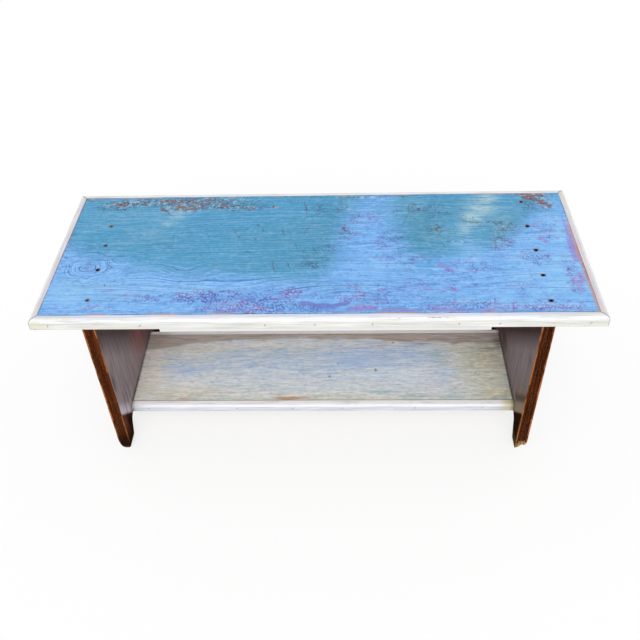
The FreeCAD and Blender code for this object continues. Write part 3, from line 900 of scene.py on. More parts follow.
def gloss_moulding(name, paint, flat_painted_light, face_painted_shade, yellowed, worn_wood, long_dashes, side_dashes):
    """White gloss paint brushed on a stock moulding: smooth and slightly shiny, with fine brush lines
    along it, painted light on its flat (cooler painted sky light on the top's front moulding, painted
    shade on the side mouldings' flats), painted shade on its face and along its foot, yellowed where
    hands and weather reach it, dashed over the sunk brads."""
    material, tree, place, stored = new_material(
        name, ("run", "edge", "joint", "face", "band", "along", "low"),
    )
    # Real brush lines are under a millimetre wide. They are drawn 3 to 4 mm wide, so that they show.
    brushed_x = grain(tree, place, (90, 4.0, 3.2), 3.0)
    brushed_y = grain(tree, place, (4.0, 90, 3.2), 3.0, 3.0)
    soft = grain(tree, place, (46, 46, 9), 4.0, 1.7)
    blot = grain(tree, place, (22, 22, 3), 4.0, 6.1)
    brushed = add_node(
        tree, "ShaderNodeMix", {0: stored["along"], 2: brushed_y, 3: brushed_x},
        data_type="FLOAT",
    ).outputs[0]
    warm = flakes(tree, soft, stored["run"], 0.16)
    worn = flakes(tree, blot, stored["edge"], 0.04)
    dash = marks_on(tree, place, long_dashes, 1.2, "XZ")
    side_dash = marks_on(tree, place, side_dashes, 1.2, "YZ")
    white = coats(tree, paint, [
        ([(soft, 0.45, 0.7), 0.3], linear("DCE2EE")),
        # Painted shade on the moulding's face.
        ([stored["face"], 0.9], face_painted_shade),
        # Painted shade on the side mouldings' flats, then cooler painted sky light on the front flat and
        # brighter painted light on the shelf mouldings' flats.
        ([stored["band"], 0.9], linear("D8CED6")),
        ([stored["band"], stored["along"]], flat_painted_light),
        ([(blot, 0.52, 0.66), 0.3], linear("D6DCEA")),
        ([warm, 0.8], yellowed),
        ([(brushed, 0.53, 0.66), 0.4], linear("FFFFFF")),
        ([(brushed, 0.47, 0.33), 0.42], linear("B0AEA6")),
        # Painted shade along the foot of the nose.
        ([stored["low"], (blot, 0.40, 0.55), 0.6], linear("948C92")),
        ([worn, 0.7], worn_wood),
        ([dash, 0.5], linear("6E6A64")),
        ([side_dash, 0.5], linear("6E6A64")),
        ([stored["joint"], 0.8], linear("6E6258")),
    ])
    relief = pile(tree, [(brushed, 1.0), (worn, -0.5), (blot, 0.2), (dash, -1.5)])
    roughness = pile(tree, [(soft, 0.2), (1.0, 0.3)])
    finish_material(tree, white, roughness, relief, 0.15, Specular_IOR_Level=0.4)
    return material


def tint_moulding(piece, height, flat, nose, banded=True, **tints):
    """Stores where a moulding's face, its flat's outer edge and its foot are, and the tints given."""
    points = points_of(piece)
    flat_mm = flat / MM
    # The face gets painted shade.
    tint(piece, "face", points[:, 2] < height - nose * 0.8)
    tint(piece, "band", ramp(points[:, 1] / MM, -flat_mm - 1, -flat_mm) * banded)
    # The foot gets painted shade.
    tint(piece, "low", ramp(points[:, 2] / MM, 1.6, 0.4))
    for name, values in tints.items():
        tint(piece, name, values)


class BENCH_OT_top_mouldings(bpy.types.Operator):
    """Adds the mitred white moulding round the plank"""
    bl_idname = "bench.top_mouldings"
    bl_label = "Top mouldings"

    def execute(self, context):
        sizes = context.scene.bench_sizes
        colours = context.scene.bench_colours
        plank_low, plank_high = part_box("top_board")
        paint = gloss_moulding(
            "White gloss paint, brushed on moulding", colours.white, linear("DAE0F1"),
            linear("DDDCD6"), colours.cream, colours.moulding_wear,
            brad_dashes(FRONT_BRADS, TOP_BRAD_HEIGHTS), brad_dashes(SIDE_BRADS, TOP_BRAD_HEIGHTS),
        )
        sides = (
            ("front", 0, (0, plank_low.y), 0), ("back", math.pi, (0, plank_high.y), 0),
            ("left", -math.pi / 2, (plank_low.x, 0), 1), ("right", math.pi / 2, (plank_high.x, 0), 1),
        )
        for index, (side, turn, (place_x, place_y), across) in enumerate(sides):
            node = "top_moulding_" + side
            low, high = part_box(node)
            length = (high - low)[across]
            width = (high - low)[1 - across]
            height = high.z - low.z
            piece = strip(
                node + "_painted", length, width, height, sizes.flat, sizes.quirk, sizes.nose,
                30 + index,
            )
            for way in (1, -1):
                inner_corner = (way * (length / 2 - width - sizes.mitre_gap / 2), 0, 0)
                saw_end(piece, inner_corner, (way, 1, 0))
            points = points_of(piece)
            x = points[:, 0] / MM
            y = points[:, 1] / MM
            seen = side != "back"
            from_mitre = (length / 2 - width - np.abs(points[:, 0]) - points[:, 1]) / MM
            yellowed = 0.26 + 0.16 * rough(x / 60, x * 0, 40 + index) + 0.16 * ramp(from_mitre, 70, 10)
            on_nose = ramp(y, -sizes.flat / MM - 1, -width / MM)
            edge = 0.2 + (side == "front") * spots(x, y, NOSE_WEAR_SPOTS)
            edge = edge + 0.12 * on_nose * rough(x / 50, x * 0, 50 + index)
            tint_moulding(
                piece, height, sizes.flat, sizes.nose, seen, run=yellowed * seen, edge=edge,
                joint=ramp(from_mitre, 1.4, 0.2), along=x * 0 + (across == 0),
            )
            put(piece, turn, (place_x, place_y, low.z))
            finish_piece(piece, paint, "white_paint", node)
        return {"FINISHED"}


class BENCH_OT_shelf_mouldings(bpy.types.Operator):
    """Adds the straight white mouldings along the shelf's front and back"""
    bl_idname = "bench.shelf_mouldings"
    bl_label = "Shelf mouldings"

    def execute(self, context):
        sizes = context.scene.bench_sizes
        board_low, board_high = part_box("shelf_board")
        paint = gloss_moulding(
            "White gloss paint, cool in shade", linear("ECECF2"), linear("FFFFFF"),
            linear("CDD2DA"), linear("DAD3A4"), context.scene.bench_colours.moulding_wear,
            brad_dashes(SHELF_BRADS, SHELF_BRAD_HEIGHTS), [],
        )
        for index, (side, turn, place_y) in enumerate((
            ("front", 0, board_low.y), ("back", math.pi, board_high.y),
        )):
            node = "shelf_moulding_" + side
            low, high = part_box(node)
            height = high.z - low.z
            piece = strip(
                node + "_painted", high.x - low.x, high.y - low.y, height,
                sizes.shelf_flat, sizes.shelf_quirk, sizes.shelf_nose, 60 + index,
            )
            x = points_of(piece)[:, 0] / MM
            half_mm = high.x / MM
            right_end = ramp(x, half_mm - 50, half_mm - 5) * (side == "front")
            tint_moulding(
                piece, height, sizes.shelf_flat, sizes.shelf_nose,
                run=0.14 + 0.14 * rough(x / 60, x * 0, 70 + index) + 0.6 * right_end,
                edge=0.2 + 0.1 * rough(x / 50, x * 0, 80 + index),
                joint=ramp(np.abs(x), half_mm - 0.5, half_mm), along=x * 0 + 1,
            )
            put(piece, turn, (0, place_y, low.z))
            finish_piece(piece, paint, "white_paint", node)
        return {"FINISHED"}


# Shelf: where the photo shows each tone, in mm on the board, written as for the plank top

SHELF_BARE_LINE = [
    (-432, 50), (-312, 73), (-203, 84), (-92, 86), (40, 86), (168, 80), (291, 73), (432, 64),
]
SHELF_BLUE_SPOTS = [
    (100, 20, 150, 60, 0, 0.95), (200, 24, 80, 50, 0, 0.85), (30, 46, 150, 34, 0, 0.55),
    (278, -34, 34, 40, 0, 0.60), (-320, -14, 110, 34, 0, 0.60), (-200, 10, 180, 60, 0, 0.55),
    (150, 54, 90, 30, 0, 0.6), (-60, 10, 200, 60, 0, 0.60), (60, -20, 200, 40, 0, 0.5),
]
SHELF_LAVENDER_SPOTS = [
    (170, -30, 140, 36, 0, 1.0), (-100, -20, 180, 44, 0, 0.5), (-260, -50, 140, 24, 0, 0.5),
    (0, -60, 400, 30, 0, 0.3), (120, 84, 90, 10, 0, 0.6), (-80, 84, 220, 10, 0, 0.5),
    (220, 0, 90, 60, 0, 0.6), (160, 62, 120, 14, 0, 0.8), (100, 24, 130, 50, 0, 0.8),
    (-100, 66, 160, 12, 0, 0.7),
]
SHELF_TEAL_SPOTS = [
    (215, -102, 50, 9, 0, 0.66), (290, -104, 60, 7, 0, 0.54), (404, -104, 34, 9, 0, 0.68),
    (-100, 50, 140, 36, 0, 0.40), (-340, 10, 100, 40, 0, 0.42), (200, 40, 120, 50, 0, 0.38),
    (275, 30, 40, 50, 0, 0.50), (140, -86, 90, 16, 0, 0.46), (0, -80, 420, 30, 0, 0.36),
    (-400, -106, 60, 8, 0, 0.40), (-150, -70, 180, 24, 0, 0.40), (-230, 50, 100, 16, 0, 0.42),
]
SHELF_KHAKI_SPOTS = [
    (380, 0, 80, 110, 0, 0.85), (400, -96, 60, 40, 0, 1.0), (-420, -60, 60, 60, 0, 0.6),
    (330, 60, 50, 30, 0, 0.7), (-410, 20, 40, 60, 0, 0.15), (-320, -92, 110, 26, 0, 0.7),
    (0, -104, 300, 10, 0, 0.5), (-300, 52, 70, 14, 0, 0.6),
]
SHELF_TAN_SPOTS = [
    (-60, -106, 90, 9, 0, 0.66), (-328, -108, 44, 5, 0, 0.66), (-320, 40, 60, 14, 0, 0.34),
    (-330, -86, 44, 12, 0, 0.38), (-250, -80, 30, 10, 0, 0.34), (-90, -98, 60, 10, 0, 0.44),
]
SHELF_CREAM_SPOTS = [
    (-408, 10, 46, 120, 0, 1.0), (-340, 40, 70, 26, 0, 0.6), (-310, -70, 70, 22, 0, 0.55),
    (-240, 58, 80, 16, 0, 0.7), (-110, -86, 120, 12, 0, 0.3), (0, -100, 200, 8, 0, 0.15),
    (120, 62, 200, 14, 0, 0.5), (-250, -40, 60, 14, 0, 0.3), (-160, 67, 170, 10, 0, 0.8),
    (120, 68, 120, 9, 0, 0.5),
]
SHELF_DARK_SPOTS = [
    (426, 82, 14, 16, 0, 1.0), (424, 62, 10, 14, 0, 0.8), (400, 48, 40, 4, 0, 0.5),
    (240, 67, 30, 3, 0, 0.5),
]
SHELF_NICKS = [
    (222, 67, 264, 67, 1.6), (376, 50, 432, 52, 1.8), (376, 40, 410, 42, 1.4),
    (125, -22, 125, -18, 6.0), (18, -40, 18, -39, 5.0), (170, 72, 171, 70, 4.0),
    (356, -30, 357, -30, 3.6), (124, 70, 166, 70, 1.8), (128, 62, 168, 62, 1.8),
    (132, 52, 160, 53, 1.6), (36, 2, 38, -2, 2.4),
]


SHELF_TINTS = (
    ("blue", SHELF_BLUE_SPOTS), ("lavender", SHELF_LAVENDER_SPOTS), ("khaki", SHELF_KHAKI_SPOTS),
    ("cream", SHELF_CREAM_SPOTS), ("tan", SHELF_TAN_SPOTS), ("dark", SHELF_DARK_SPOTS),
)


def limewashed_pine(colours):
    """Thin limewash brushed on pine and rubbed: matt, streaked along the board with blue, teal and
    lavender from older coats, bare taupe wood along the back and tan wood worn through at the front."""
    material, tree, place, stored = new_material(
        "Limewashed pine, rubbed in streaks",
        ("bare", "blue", "lavender", "teal", "khaki", "cream", "tan", "dark", "joint"),
    )
    # Real brush streaks are 1 to 2 mm wide. They are drawn about 5 mm wide, so that they show.
    streak = grain(tree, place, (60, 5.0, 30), 4.0)
    dashes = grain(tree, place, (40, 5.2, 30), 3.0, 6.6)
    blue_dashes = grain(tree, place, (50, 5.2, 30), 3.0, 14.2)
    teal_dashes = grain(tree, place, (34, 4.8, 30), 3.0, 23.9)
    soft = grain(tree, place, (60, 18, 30), 4.0, 2.2)
    speck = grain(tree, place, (11.0, 4.6, 5.0), 3.0, 8.8)
    bareness = pile(tree, [(stored["bare"], 1.0), (soft, 1.0), (streak, 0.9)])
    bare_edge = product(tree, [(bareness, 1.25, 1.6)])
    teal_streak = flakes(tree, teal_dashes, stored["teal"], 0.09)
    blue_streak = flakes(tree, blue_dashes, pile(tree, [(stored["blue"], 0.34), (1.0, 0.26)]), 0.08)
    tan_streak = flakes(tree, soft, stored["tan"], 0.10)
    nicks = marks_on(tree, place, SHELF_NICKS, 1.5)
    under = underside(tree)
    wash = coats(tree, colours.limewash, [
        ([stored["khaki"], 0.8], linear("D6CA8C")),
        ([stored["blue"], (streak, 0.2, 0.6), 0.85], colours.shelf_blue),
        ([stored["lavender"], (soft, 0.15, 0.5), 0.85], colours.lavender),
        ([stored["cream"], (soft, 0.25, 0.55), 0.9], linear("FFF6EA")),
        ([(dashes, 0.50, 0.64), 0.52], linear("FCFDFF")),
        ([(speck, 0.52, 0.64), 0.38], linear("FFFFFF")),
        ([(streak, 0.47, 0.34), 0.24], linear("A4ACB0")),
        ([blue_streak, 0.46], linear("8EC0FF")),
        ([teal_streak, 0.55], colours.shelf_teal),
        ([(dashes, 0.44, 0.30), 0.32], linear("7EA8D8")),
        ([(speck, 0.46, 0.34), 0.22], linear("869ECC")),
        ([tan_streak, 0.80], colours.shelf_tan),
        ([bare_edge], colours.shelf_bare),
        ([bare_edge, (streak, 0.48, 0.62), 0.5], linear("84766F")),
        ([bare_edge, (dashes, 0.54, 0.66), 0.5], linear("E0DADC")),
        ([stored["dark"], (streak, 0.3, 0.55), 0.8], linear("5A4A44")),
        ([(speck, 0.36, 0.26), 0.3], linear("7A868C")),
        ([nicks, 0.65], linear("5C5B66")),
        # Dark joints along the shelf's edges, and painted shadow at its ends.
        ([stored["joint"], 0.88], linear("43342F")),
        ([under], colours.old_pine),
        ([under, (streak, 0.4, 0.65), 0.4], linear("7B6148")),
    ])
    height = pile(tree, [(streak, 0.8), (soft, 0.3), (bare_edge, -0.4), (nicks, -0.8)])
    roughness = pile(tree, [(streak, 0.2), (1.0, 0.45)])
    finish_material(tree, wash, roughness, height, 0.3, Specular_IOR_Level=0.25)
    return material


class BENCH_OT_shelf(bpy.types.Operator):
    """Adds the limewashed shelf board"""
    bl_idname = "bench.shelf"
    bl_label = "Shelf"

    def execute(self, context):
        sizes = context.scene.bench_sizes
        low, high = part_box("shelf_board")
        middle = (low + high) / 2
        size = (high.x - low.x, high.y - low.y)
        shelf = grid_sheet("shelf_limewashed", (middle.x, middle.y, high.z), size, sizes.cell)
        ease = sizes.ease
        cut_loops(shelf, 1, arris_cuts(low.y, high.y, ease))
        cut_loops(shelf, 0, [low.x + ease, high.x - ease, low.x + 3 * ease, high.x - 3 * ease])
        extrude_rim(shelf, high.z - low.z, ease)
        points = points_of(shelf)
        x = points[:, 0] / MM
        y = points[:, 1] / MM
        from_ends = np.minimum(x - low.x / MM, high.x / MM - x)
        inside = np.minimum(from_ends, np.minimum(y - low.y / MM, high.y / MM - y))
        on_top = points[:, 2] > high.z - HAIR
        sunk = 0.6 * rough(x / 220, y / 12, 91) + 0.4 * rough(x / 120, y / 70, 92)
        points[:, 2] -= np.where(on_top, sizes.relief * sunk * ramp(inside, 0.5, 8), 0)
        for place, way in ((low.y, 1), (high.y, -1)):
            ease_arris(points, (1, place, way), (2, high.z, -1), ease, ease)
        set_points(shelf, points)
        half_blend = 13
        ragged = 14 * (rough(x / 40, y / 8, 93) - 0.5)
        bare_line = np.interp(x, *zip(*SHELF_BARE_LINE))
        tint(shelf, "bare", ramp(y - bare_line + ragged, -half_blend, half_blend))
        for name, marks in SHELF_TINTS:
            tint(shelf, name, spots(x, y, marks))
        tint(shelf, "teal", np.maximum(spots(x, y, SHELF_TEAL_SPOTS), 0.2))
        # Painted shadow in the gap at each end of the shelf, beside the end boards.
        end_strength = 0.55 + 0.45 * np.maximum(ramp(y, 60, -60), x > 0)
        end_gap_shade = ramp(from_ends, 3.6, 2.2) * end_strength
        tint(shelf, "joint", np.maximum(ramp(inside, 2.4, 0.3), end_gap_shade))
        wash = limewashed_pine(context.scene.bench_colours)
        finish_piece(shelf, wash, "limewashed_paint", "shelf_board")
        return {"FINISHED"}


# End boards

def stained_board(colours):
    """Pine stained walnut and varnished: satin, grain upright, with a grey-violet painted reflection on
    the broad faces, painted shade under the top and under the shelf, a painted reflection of the
    shelf moulding on the left inner face, stain pooled dark down the middle of the narrow faces,
    arrises worn to bright orange wood, and bare splintered wood or drawn-up dirt at the feet."""
    material, tree, place, stored = new_material(
        "Walnut stain and satin varnish on pine",
        (
            "arris", "broad", "inner", "core", "bare", "damp_and_shelf_shade", "rosy", "gouge", "olive", "shade",
            "moulding_painted_reflection", "warm",
        ),
    )
    # Pine's fibres are finer than the 2 mm that they are drawn at, so that they show.
    fibres = grain(tree, place, (1.8, 1.8, 90), 3.0)
    bands = grain(tree, place, (12, 9, 240), 3.0, 2.9)
    chip_noise = grain(tree, place, (3.6, 3.6, 14.0), 4.0, 5.5)
    mottle = grain(tree, place, (3.4, 3.4, 6.0), 4.0, 8.5)
    soft = grain(tree, place, (30, 24, 80), 3.0, 7.1)
    worn = flakes(tree, chip_noise, stored["arris"], 0.09)
    fresh = flakes(tree, mottle, stored["bare"], 0.1)
    wood = coats(tree, colours.stain, [
        ([(bands, 0.42, 0.66), 0.35], colours.stain_dark),
        ([(fibres, 0.48, 0.66), 0.45], linear("8E4A1E")),
        ([stored["core"], (mottle, 0.72, 0.46)], colours.stain_dark),
        ([stored["core"], (fibres, 0.50, 0.68), 0.35], linear("6E4A2E")),
        # Painted reflection of the sky and floor on the broad faces, paler on the inner faces.
        ([stored["broad"], (soft, 0.1, 0.45), 0.94], colours.painted_reflection),
        ([stored["inner"], (soft, 0.1, 0.45), 0.9], colours.inner_painted_reflection),
        ([stored["broad"], (fibres, 0.50, 0.34), 0.40], linear("5A4848")),
        ([stored["broad"], (bands, 0.52, 0.66), 0.35], linear("B4A4AA")),
        ([stored["broad"], (bands, 0.47, 0.33), 0.35], linear("604C4C")),
        # Painted reflection of the shelf's white moulding on the left inner face.
        ([stored["moulding_painted_reflection"], (bands, 0.2, 0.5)], linear("D8D2DC")),
        ([stored["warm"], (bands, 0.2, 0.5), 0.8], linear("B4A480")),
        ([stored["shade"], 0.95], linear("3E2C2A")),
        ([stored["rosy"], (bands, 0.25, 0.5), 0.9], linear("9A625A")),
        ([stored["gouge"], 0.85], linear("5C2C1C")),
        ([worn, 0.82], colours.worn_orange),
        ([worn, (fibres, 0.48, 0.62), 0.4], linear("C09070")),
        ([worn, (soft, 0.44, 0.60), 0.5], linear("8A4820")),
        # Damp dirt on the feet, and painted shade under the shelf on the inner faces.
        ([stored["damp_and_shelf_shade"], (soft, 0.15, 0.42), 0.95], colours.damp_and_shelf_shade),
        ([stored["olive"], (mottle, 0.36, 0.56), 0.85], linear("6E6434")),
        ([fresh], colours.splinter),
        ([fresh, (chip_noise, 0.52, 0.38), 0.8], linear("6E4E2C")),
    ])
    height = pile(tree, [
        (fibres, 0.6), (worn, -0.5), (fresh, -0.3), (chip_noise, 0.25), (mottle, 0.4),
    ])
    dull = [(stored["shade"], 0.5), (stored["rosy"], 0.4), (stored["damp_and_shelf_shade"], 0.5)]
    roughness = pile(tree, dull + [(fibres, 0.15), (1.0, 0.45)])
    finish_material(tree, wood, roughness, height, 0.35, Specular_IOR_Level=0.006)
    return material


# End boards: where stain, shade and dirt lie, in mm. Painted shade under the shelf on an inner
# face ends at the shelf's level and rises ahead of its front edge, and painted shade under the top
# deepens with height and towards the back.

SHELF_SHADE_HEIGHT = 57.0
SHELF_SHADE_FRONT = -127.5
SHELF_SHADE_SLOPE = 1.05
TOP_FRONT = -211.0
TOP_SHADE_SLOPE = 0.93
TOP_SHADE_START = 303.0
TOP_SHADE_RUN = 80.0
FRONT_FOOT = -120.0
ACROSS_FOOT = 25.0         # spots on a foot's end are placed across this much from its inner face
TIP_SHIFT = 3 * MM
DARK_CORNER = [(60, 116, 56, 52, 0, 0.92)]
GOUGES = [(-177, 208, 5.5, 32, 0, 1.0), (-180, 340, 3.5, 12, 0, 0.8), (-176, 318, 3, 9, 0, 0.6)]
NARROW_ARRIS = [(205, 0, 22, 1, 0, 1.0)]
BROWN_BAND = [(70, 0, 44, 1, 0, 0.6)]
OLIVE_BAND = [(46, 0, 18, 1, 0, 0.85)]
BARE_TIP = [(12.5, 9, 12, 20, 0, 0.86)]
TORN_SPOTS = [(11.5, 8, 5.5, 11, 0, 1.0), (4, 5, 3, 6, 0, 0.5)]


def cut_out_gap(y, z, sizes, board_y):
    """Signed distance to the foot cut-out's outline, negative inside it, and its gradient."""
    half_floor = board_y - sizes.foot_width
    slant = np.array([sizes.cut_out_top, sizes.foot_splay])
    slant = slant / np.linalg.norm(slant)
    side = (np.abs(y) - half_floor) * slant[0] + z * slant[1]
    top = z - sizes.cut_out_top
    radius = sizes.cut_out_radius
    in_side = side + radius
    in_top = top + radius
    corner = (in_side > 0) & (in_top > 0)
    reach = np.maximum(np.hypot(in_side, in_top), HAIR)
    gap = np.where(corner, reach - radius, np.maximum(side, top))
    share_side = np.where(corner, in_side / reach, (side > top) * 1.0)
    share_top = np.where(corner, in_top / reach, (side <= top) * 1.0)
    slope_y = share_side * slant[0] * np.sign(y)
    slope_z = share_side * slant[1] + share_top
    return gap, slope_y, slope_z


def end_board(name, node, sizes, outer, seed):
    """One end board: a sheet of cells with its foot cut-out, pulled through the board's thickness."""
    low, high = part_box(node)
    half = high.y
    turn = (math.pi / 2, 0, math.pi / 2)
    inner_x = low.x if outer > 0 else high.x
    outer_x = high.x if outer > 0 else low.x
    size = (high.y - low.y, high.z - low.z)
    board = grid_sheet(name, (outer_x, 0, (low.z + high.z) / 2), size, sizes.cell, turn)
    wear = sizes.arris_wear
    insets = [wear * share for share in (0.2, 0.55, 1.0)]
    cut_loops(board, 1, [half - inset for inset in insets] + [inset - half for inset in insets])
    cut_loops(board, 2, [low.z + wear * share for share in (0.3, 0.8)])
    edit(board)
    bpy.ops.mesh.select_mode(type="FACE")
    bpy.ops.mesh.select_all(action="DESELECT")
    mesh = bmesh.from_edit_mesh(board.data)
    for face in mesh.faces:
        middle = face.calc_center_median()
        gap, slope_y, slope_z = cut_out_gap(middle.y, middle.z, sizes, half)
        face.select_set(bool(gap < 0))
    bmesh.update_edit_mesh(board.data)
    bpy.ops.mesh.delete(type="FACE")
    bpy.ops.mesh.select_mode(type="VERT")
    bpy.ops.mesh.select_all(action="DESELECT")
    mesh = bmesh.from_edit_mesh(board.data)
    for vertex in mesh.verts:
        gap, slope_y, slope_z = cut_out_gap(vertex.co.y, vertex.co.z, sizes, half)
        if vertex.is_boundary and gap < sizes.cell * 1.5 and abs(vertex.co.y) < half - HAIR:
            on_floor = vertex.co.z < low.z + HAIR
            for step in range(4):
                gap, slope_y, slope_z = cut_out_gap(vertex.co.y, vertex.co.z, sizes, half)
                if on_floor:
                    slope_z = 0.0
                steep = slope_y ** 2 + slope_z ** 2
                vertex.co.y -= float(gap * slope_y / steep)
                vertex.co.z -= float(gap * slope_z / steep)
    bmesh.update_edit_mesh(board.data)
    bpy.ops.mesh.select_mode(type="FACE")
    bpy.ops.mesh.select_all(action="SELECT")
    rounding = [wear * 0.25, wear * 0.35, wear * 0.4]
    middle_cuts = 6
    middle_step = (high.x - low.x - 2 * wear) / middle_cuts
    for step in rounding + [middle_step] * middle_cuts + rounding[::-1]:
        bpy.ops.mesh.extrude_region_move(TRANSFORM_OT_translate={"value": (-outer * step, 0, 0)})
    bpy.ops.mesh.select_all(action="SELECT")
    bpy.ops.mesh.normals_make_consistent(inside=False)
    leave_edit()
    shelf_low, shelf_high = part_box("shelf_board")
    nails = [(outer_x, y * MM, (shelf_low.z + shelf_high.z) / 2) for y in SHELF_NAILS_Y]
    sink_holes(board, nails, sizes.nail_bore / 2, (-outer * sizes.nail_seat, 0, 0), sizes.cell)
    points = points_of(board)
    gap, slope_y, slope_z = cut_out_gap(points[:, 1], points[:, 2], sizes, half)
    side_in = half - np.abs(points[:, 1])
    face_in = np.minimum(np.abs(points[:, 0] - inner_x), np.abs(points[:, 0] - outer_x))
    z = points[:, 2] / MM
    for index, (face_x, way_x) in enumerate(((inner_x, outer), (outer_x, -outer))):
        for place_y, way_y in ((-half, 1), (half, -1)):
            handled = 0.25 + 1.1 * rough(z / 30, z * 0 + way_y, seed + index)
            radius = wear * np.clip(handled, 0.3, 1.0)
            ease_arris(points, (0, face_x, way_x), (1, place_y, way_y), radius, radius)
    return board, points, gap, side_in, face_in


def wear_foot_round(points, front, tip_x, outer):
    """Wears the front foot to a blunt rounded tip, with more taken off its outer side."""
    outer_reach = 34 * MM
    inner_reach = 15 * MM
    blunt_share = 0.92
    toe_height = 12 * MM
    toe_share = 0.1
    heel = -156 * MM
    reach = np.where((points[:, 0] - tip_x) * outer > 0, outer_reach, inner_reach)
    share = np.clip((reach - points[:, 2]) / reach, 0, 1)
    narrow = np.sqrt(1 - (blunt_share * share) ** 2)
    points[:, 0] = np.where(front, tip_x + (points[:, 0] - tip_x) * narrow, points[:, 0])
    set_back = np.clip((toe_height - points[:, 2]) / toe_height, 0, 1) ** 2
    short = heel + (points[:, 1] - heel) * (1 - toe_share * set_back)
    points[:, 1] = np.where(front & (points[:, 1] < heel), short, points[:, 1])


# The broken foot's lower edge: shares of the board's thickness from its inner face, and heights in mm
BREAK_SHARES = (0.0, 0.12, 0.3, 0.48, 0.56, 0.66, 0.8, 0.9, 1.0)
BREAK_HEIGHTS = (0.0, 1.5, 0.0, 2.0, 9.0, 10.0, 8.0, 13.0, 22.0)


def break_foot(points, front, from_inner):
    """Breaks the bottom of the front foot off along a jagged line that rises to its outer side, and
    tears a hollow with raised fibres into its front."""
    y = points[:, 1] / MM
    reach = 30 * MM
    bite = np.interp(from_inner, BREAK_SHARES, BREAK_HEIGHTS) * ramp(y, -150, -172)
    frayed = 3.0 * rough(from_inner * 9, y / 3.5, 130, 2) * ramp(y, -145, -165)
    bite += frayed * ramp(from_inner, 0.0, 0.3)
    share = np.clip(1 - points[:, 2] / reach, 0, 1)
    points[:, 2] += np.where(front, bite * share * MM, 0)
    torn = spots(from_inner * ACROSS_FOOT, points[:, 2] / MM, TORN_SPOTS)
    fibres = 0.4 + 0.9 * rough(from_inner * 14, points[:, 2] / (9 * MM), 131, 2)
    points[:, 1] += 5 * MM * torn * fibres * ramp(y, -180, -187)


def tint_arrises(board, y, z, gap, side, face, from_inner, outer):
    """Stores where the stain is worn off an end board's arrises, and where it pooled between them.
    Gives the share of each point that belongs to a broad face. All in mm."""
    inner = from_inner < 0.5
    edge = np.minimum(np.hypot(side, face), np.hypot(np.abs(gap), face) + 1.2)
    inner_reach = 2.6 + 1.2 * ramp(z, 140, 190) - 1.0 * spots(z, z * 0, NARROW_ARRIS)
    near_arris = np.where(inner, ramp(edge, inner_reach, 0.8), ramp(edge, 6.5, 2.0))
    patchy = 1.7 * (rough(z / 46, y / 30 + from_inner * 4, 120 + outer) - 0.5) + 0.56
    patchy = patchy - 0.06 * (from_inner > 0.5)
    tint(board, "arris", near_arris * np.clip(patchy, 0.34, 0.72))
    broad = ramp(np.minimum(side, gap), 0.8, 3.0) * ramp(face, 1.5, 0.2)
    pooled = (1 - broad) * ramp(face, 2.5, 6.0) * (1 - 0.7 * ramp(z, 368, 386))
    pooled = pooled * (0.72 if outer < 0 else 1.0)
    tint(board, "core", pooled * (0.7 + 0.5 * rough(z / 60, z * 0, 127 + outer)))
    return broad


def tint_inner_face(board, y, z, broad, from_inner, outer):
    """Stores the painted reflection, painted shade and patches of an end board's inner face. All in mm.
    """
    left = outer < 0
    right = outer > 0
    inner = from_inner < 0.5
    above_shelf_shade = z - SHELF_SHADE_HEIGHT - SHELF_SHADE_SLOPE * np.maximum(SHELF_SHADE_FRONT - y, 0)
    below_shelf_shade = ramp(above_shelf_shade, 4, -6)
    on_inner = broad * inner * (1 - below_shelf_shade)
    under_top = (z + TOP_SHADE_SLOPE * (y - TOP_FRONT) - TOP_SHADE_START) / TOP_SHADE_RUN
    under_top = np.clip(under_top, 0, 1) * (0.84 if left else 0.96)
    corner = right * spots(y, z, DARK_CORNER)
    olive = right * spots(above_shelf_shade, y * 0, OLIVE_BAND) * ramp(y, -100, -125)
    shade = np.maximum(np.maximum(under_top, corner), np.maximum(olive, 0.08 if left else 0.27))
    rosy_spots = [(50, 150, 76, 70, 0, 0.80 if left else 0.10), (130, 120, 50, 60, 0, 0.3)]
    tint(board, "broad", broad * (1 - 0.95 * below_shelf_shade * inner))
    tint(board, "inner", on_inner)
    tint(board, "shade", on_inner * shade)
    tint(board, "rosy", broad * inner * spots(y, z, rosy_spots))
    tint(board, "gouge", spots(y, z, GOUGES) * inner * left)
    # Painted reflection of the shelf's white moulding, beside its end.
    tint(board, "moulding_painted_reflection", on_inner * left * ramp(above_shelf_shade, 44, 8) * ramp(y, -90, -125))
    tint(board, "warm", on_inner * right * ramp(above_shelf_shade, 42, 14) * ramp(y, -100, -125))
    brown = right * on_inner * spots(above_shelf_shade, y * 0, BROWN_BAND) * ramp(y, -90, -130)
    return below_shelf_shade * inner, brown


def tint_foot(board, y, z, below_shelf_shade, brown, from_inner, outer):
    """Stores the dirt, green stain and bare wood of an end board's front foot, and the painted shade
    under the shelf on its inner face. All in mm.
    """
    front = y < FRONT_FOOT
    if outer < 0:
        green = 0.35 * ramp(z, 14, 5)
        drawn_up = 0.97 * ramp(z, 88, 16)
        behind = ramp(y, -174, -158)
    else:
        green = ramp(z, 34, 5) * ramp(from_inner, 0.5, 0.2)
        drawn_up = 0.45 * ramp(z, 34, 4)
        behind = ramp(y, -186, -180)
    bare = (y < -150) * (outer > 0) * spots(from_inner * ACROSS_FOOT, z, BARE_TIP)
    tint(board, "olive", np.maximum(front * green, brown))
    # Damp dirt on the front foot, and painted shade under the shelf on the inner face.
    tint(board, "damp_and_shelf_shade", np.maximum(front * drawn_up, below_shelf_shade * behind * 0.98))
    tint(board, "bare", bare)


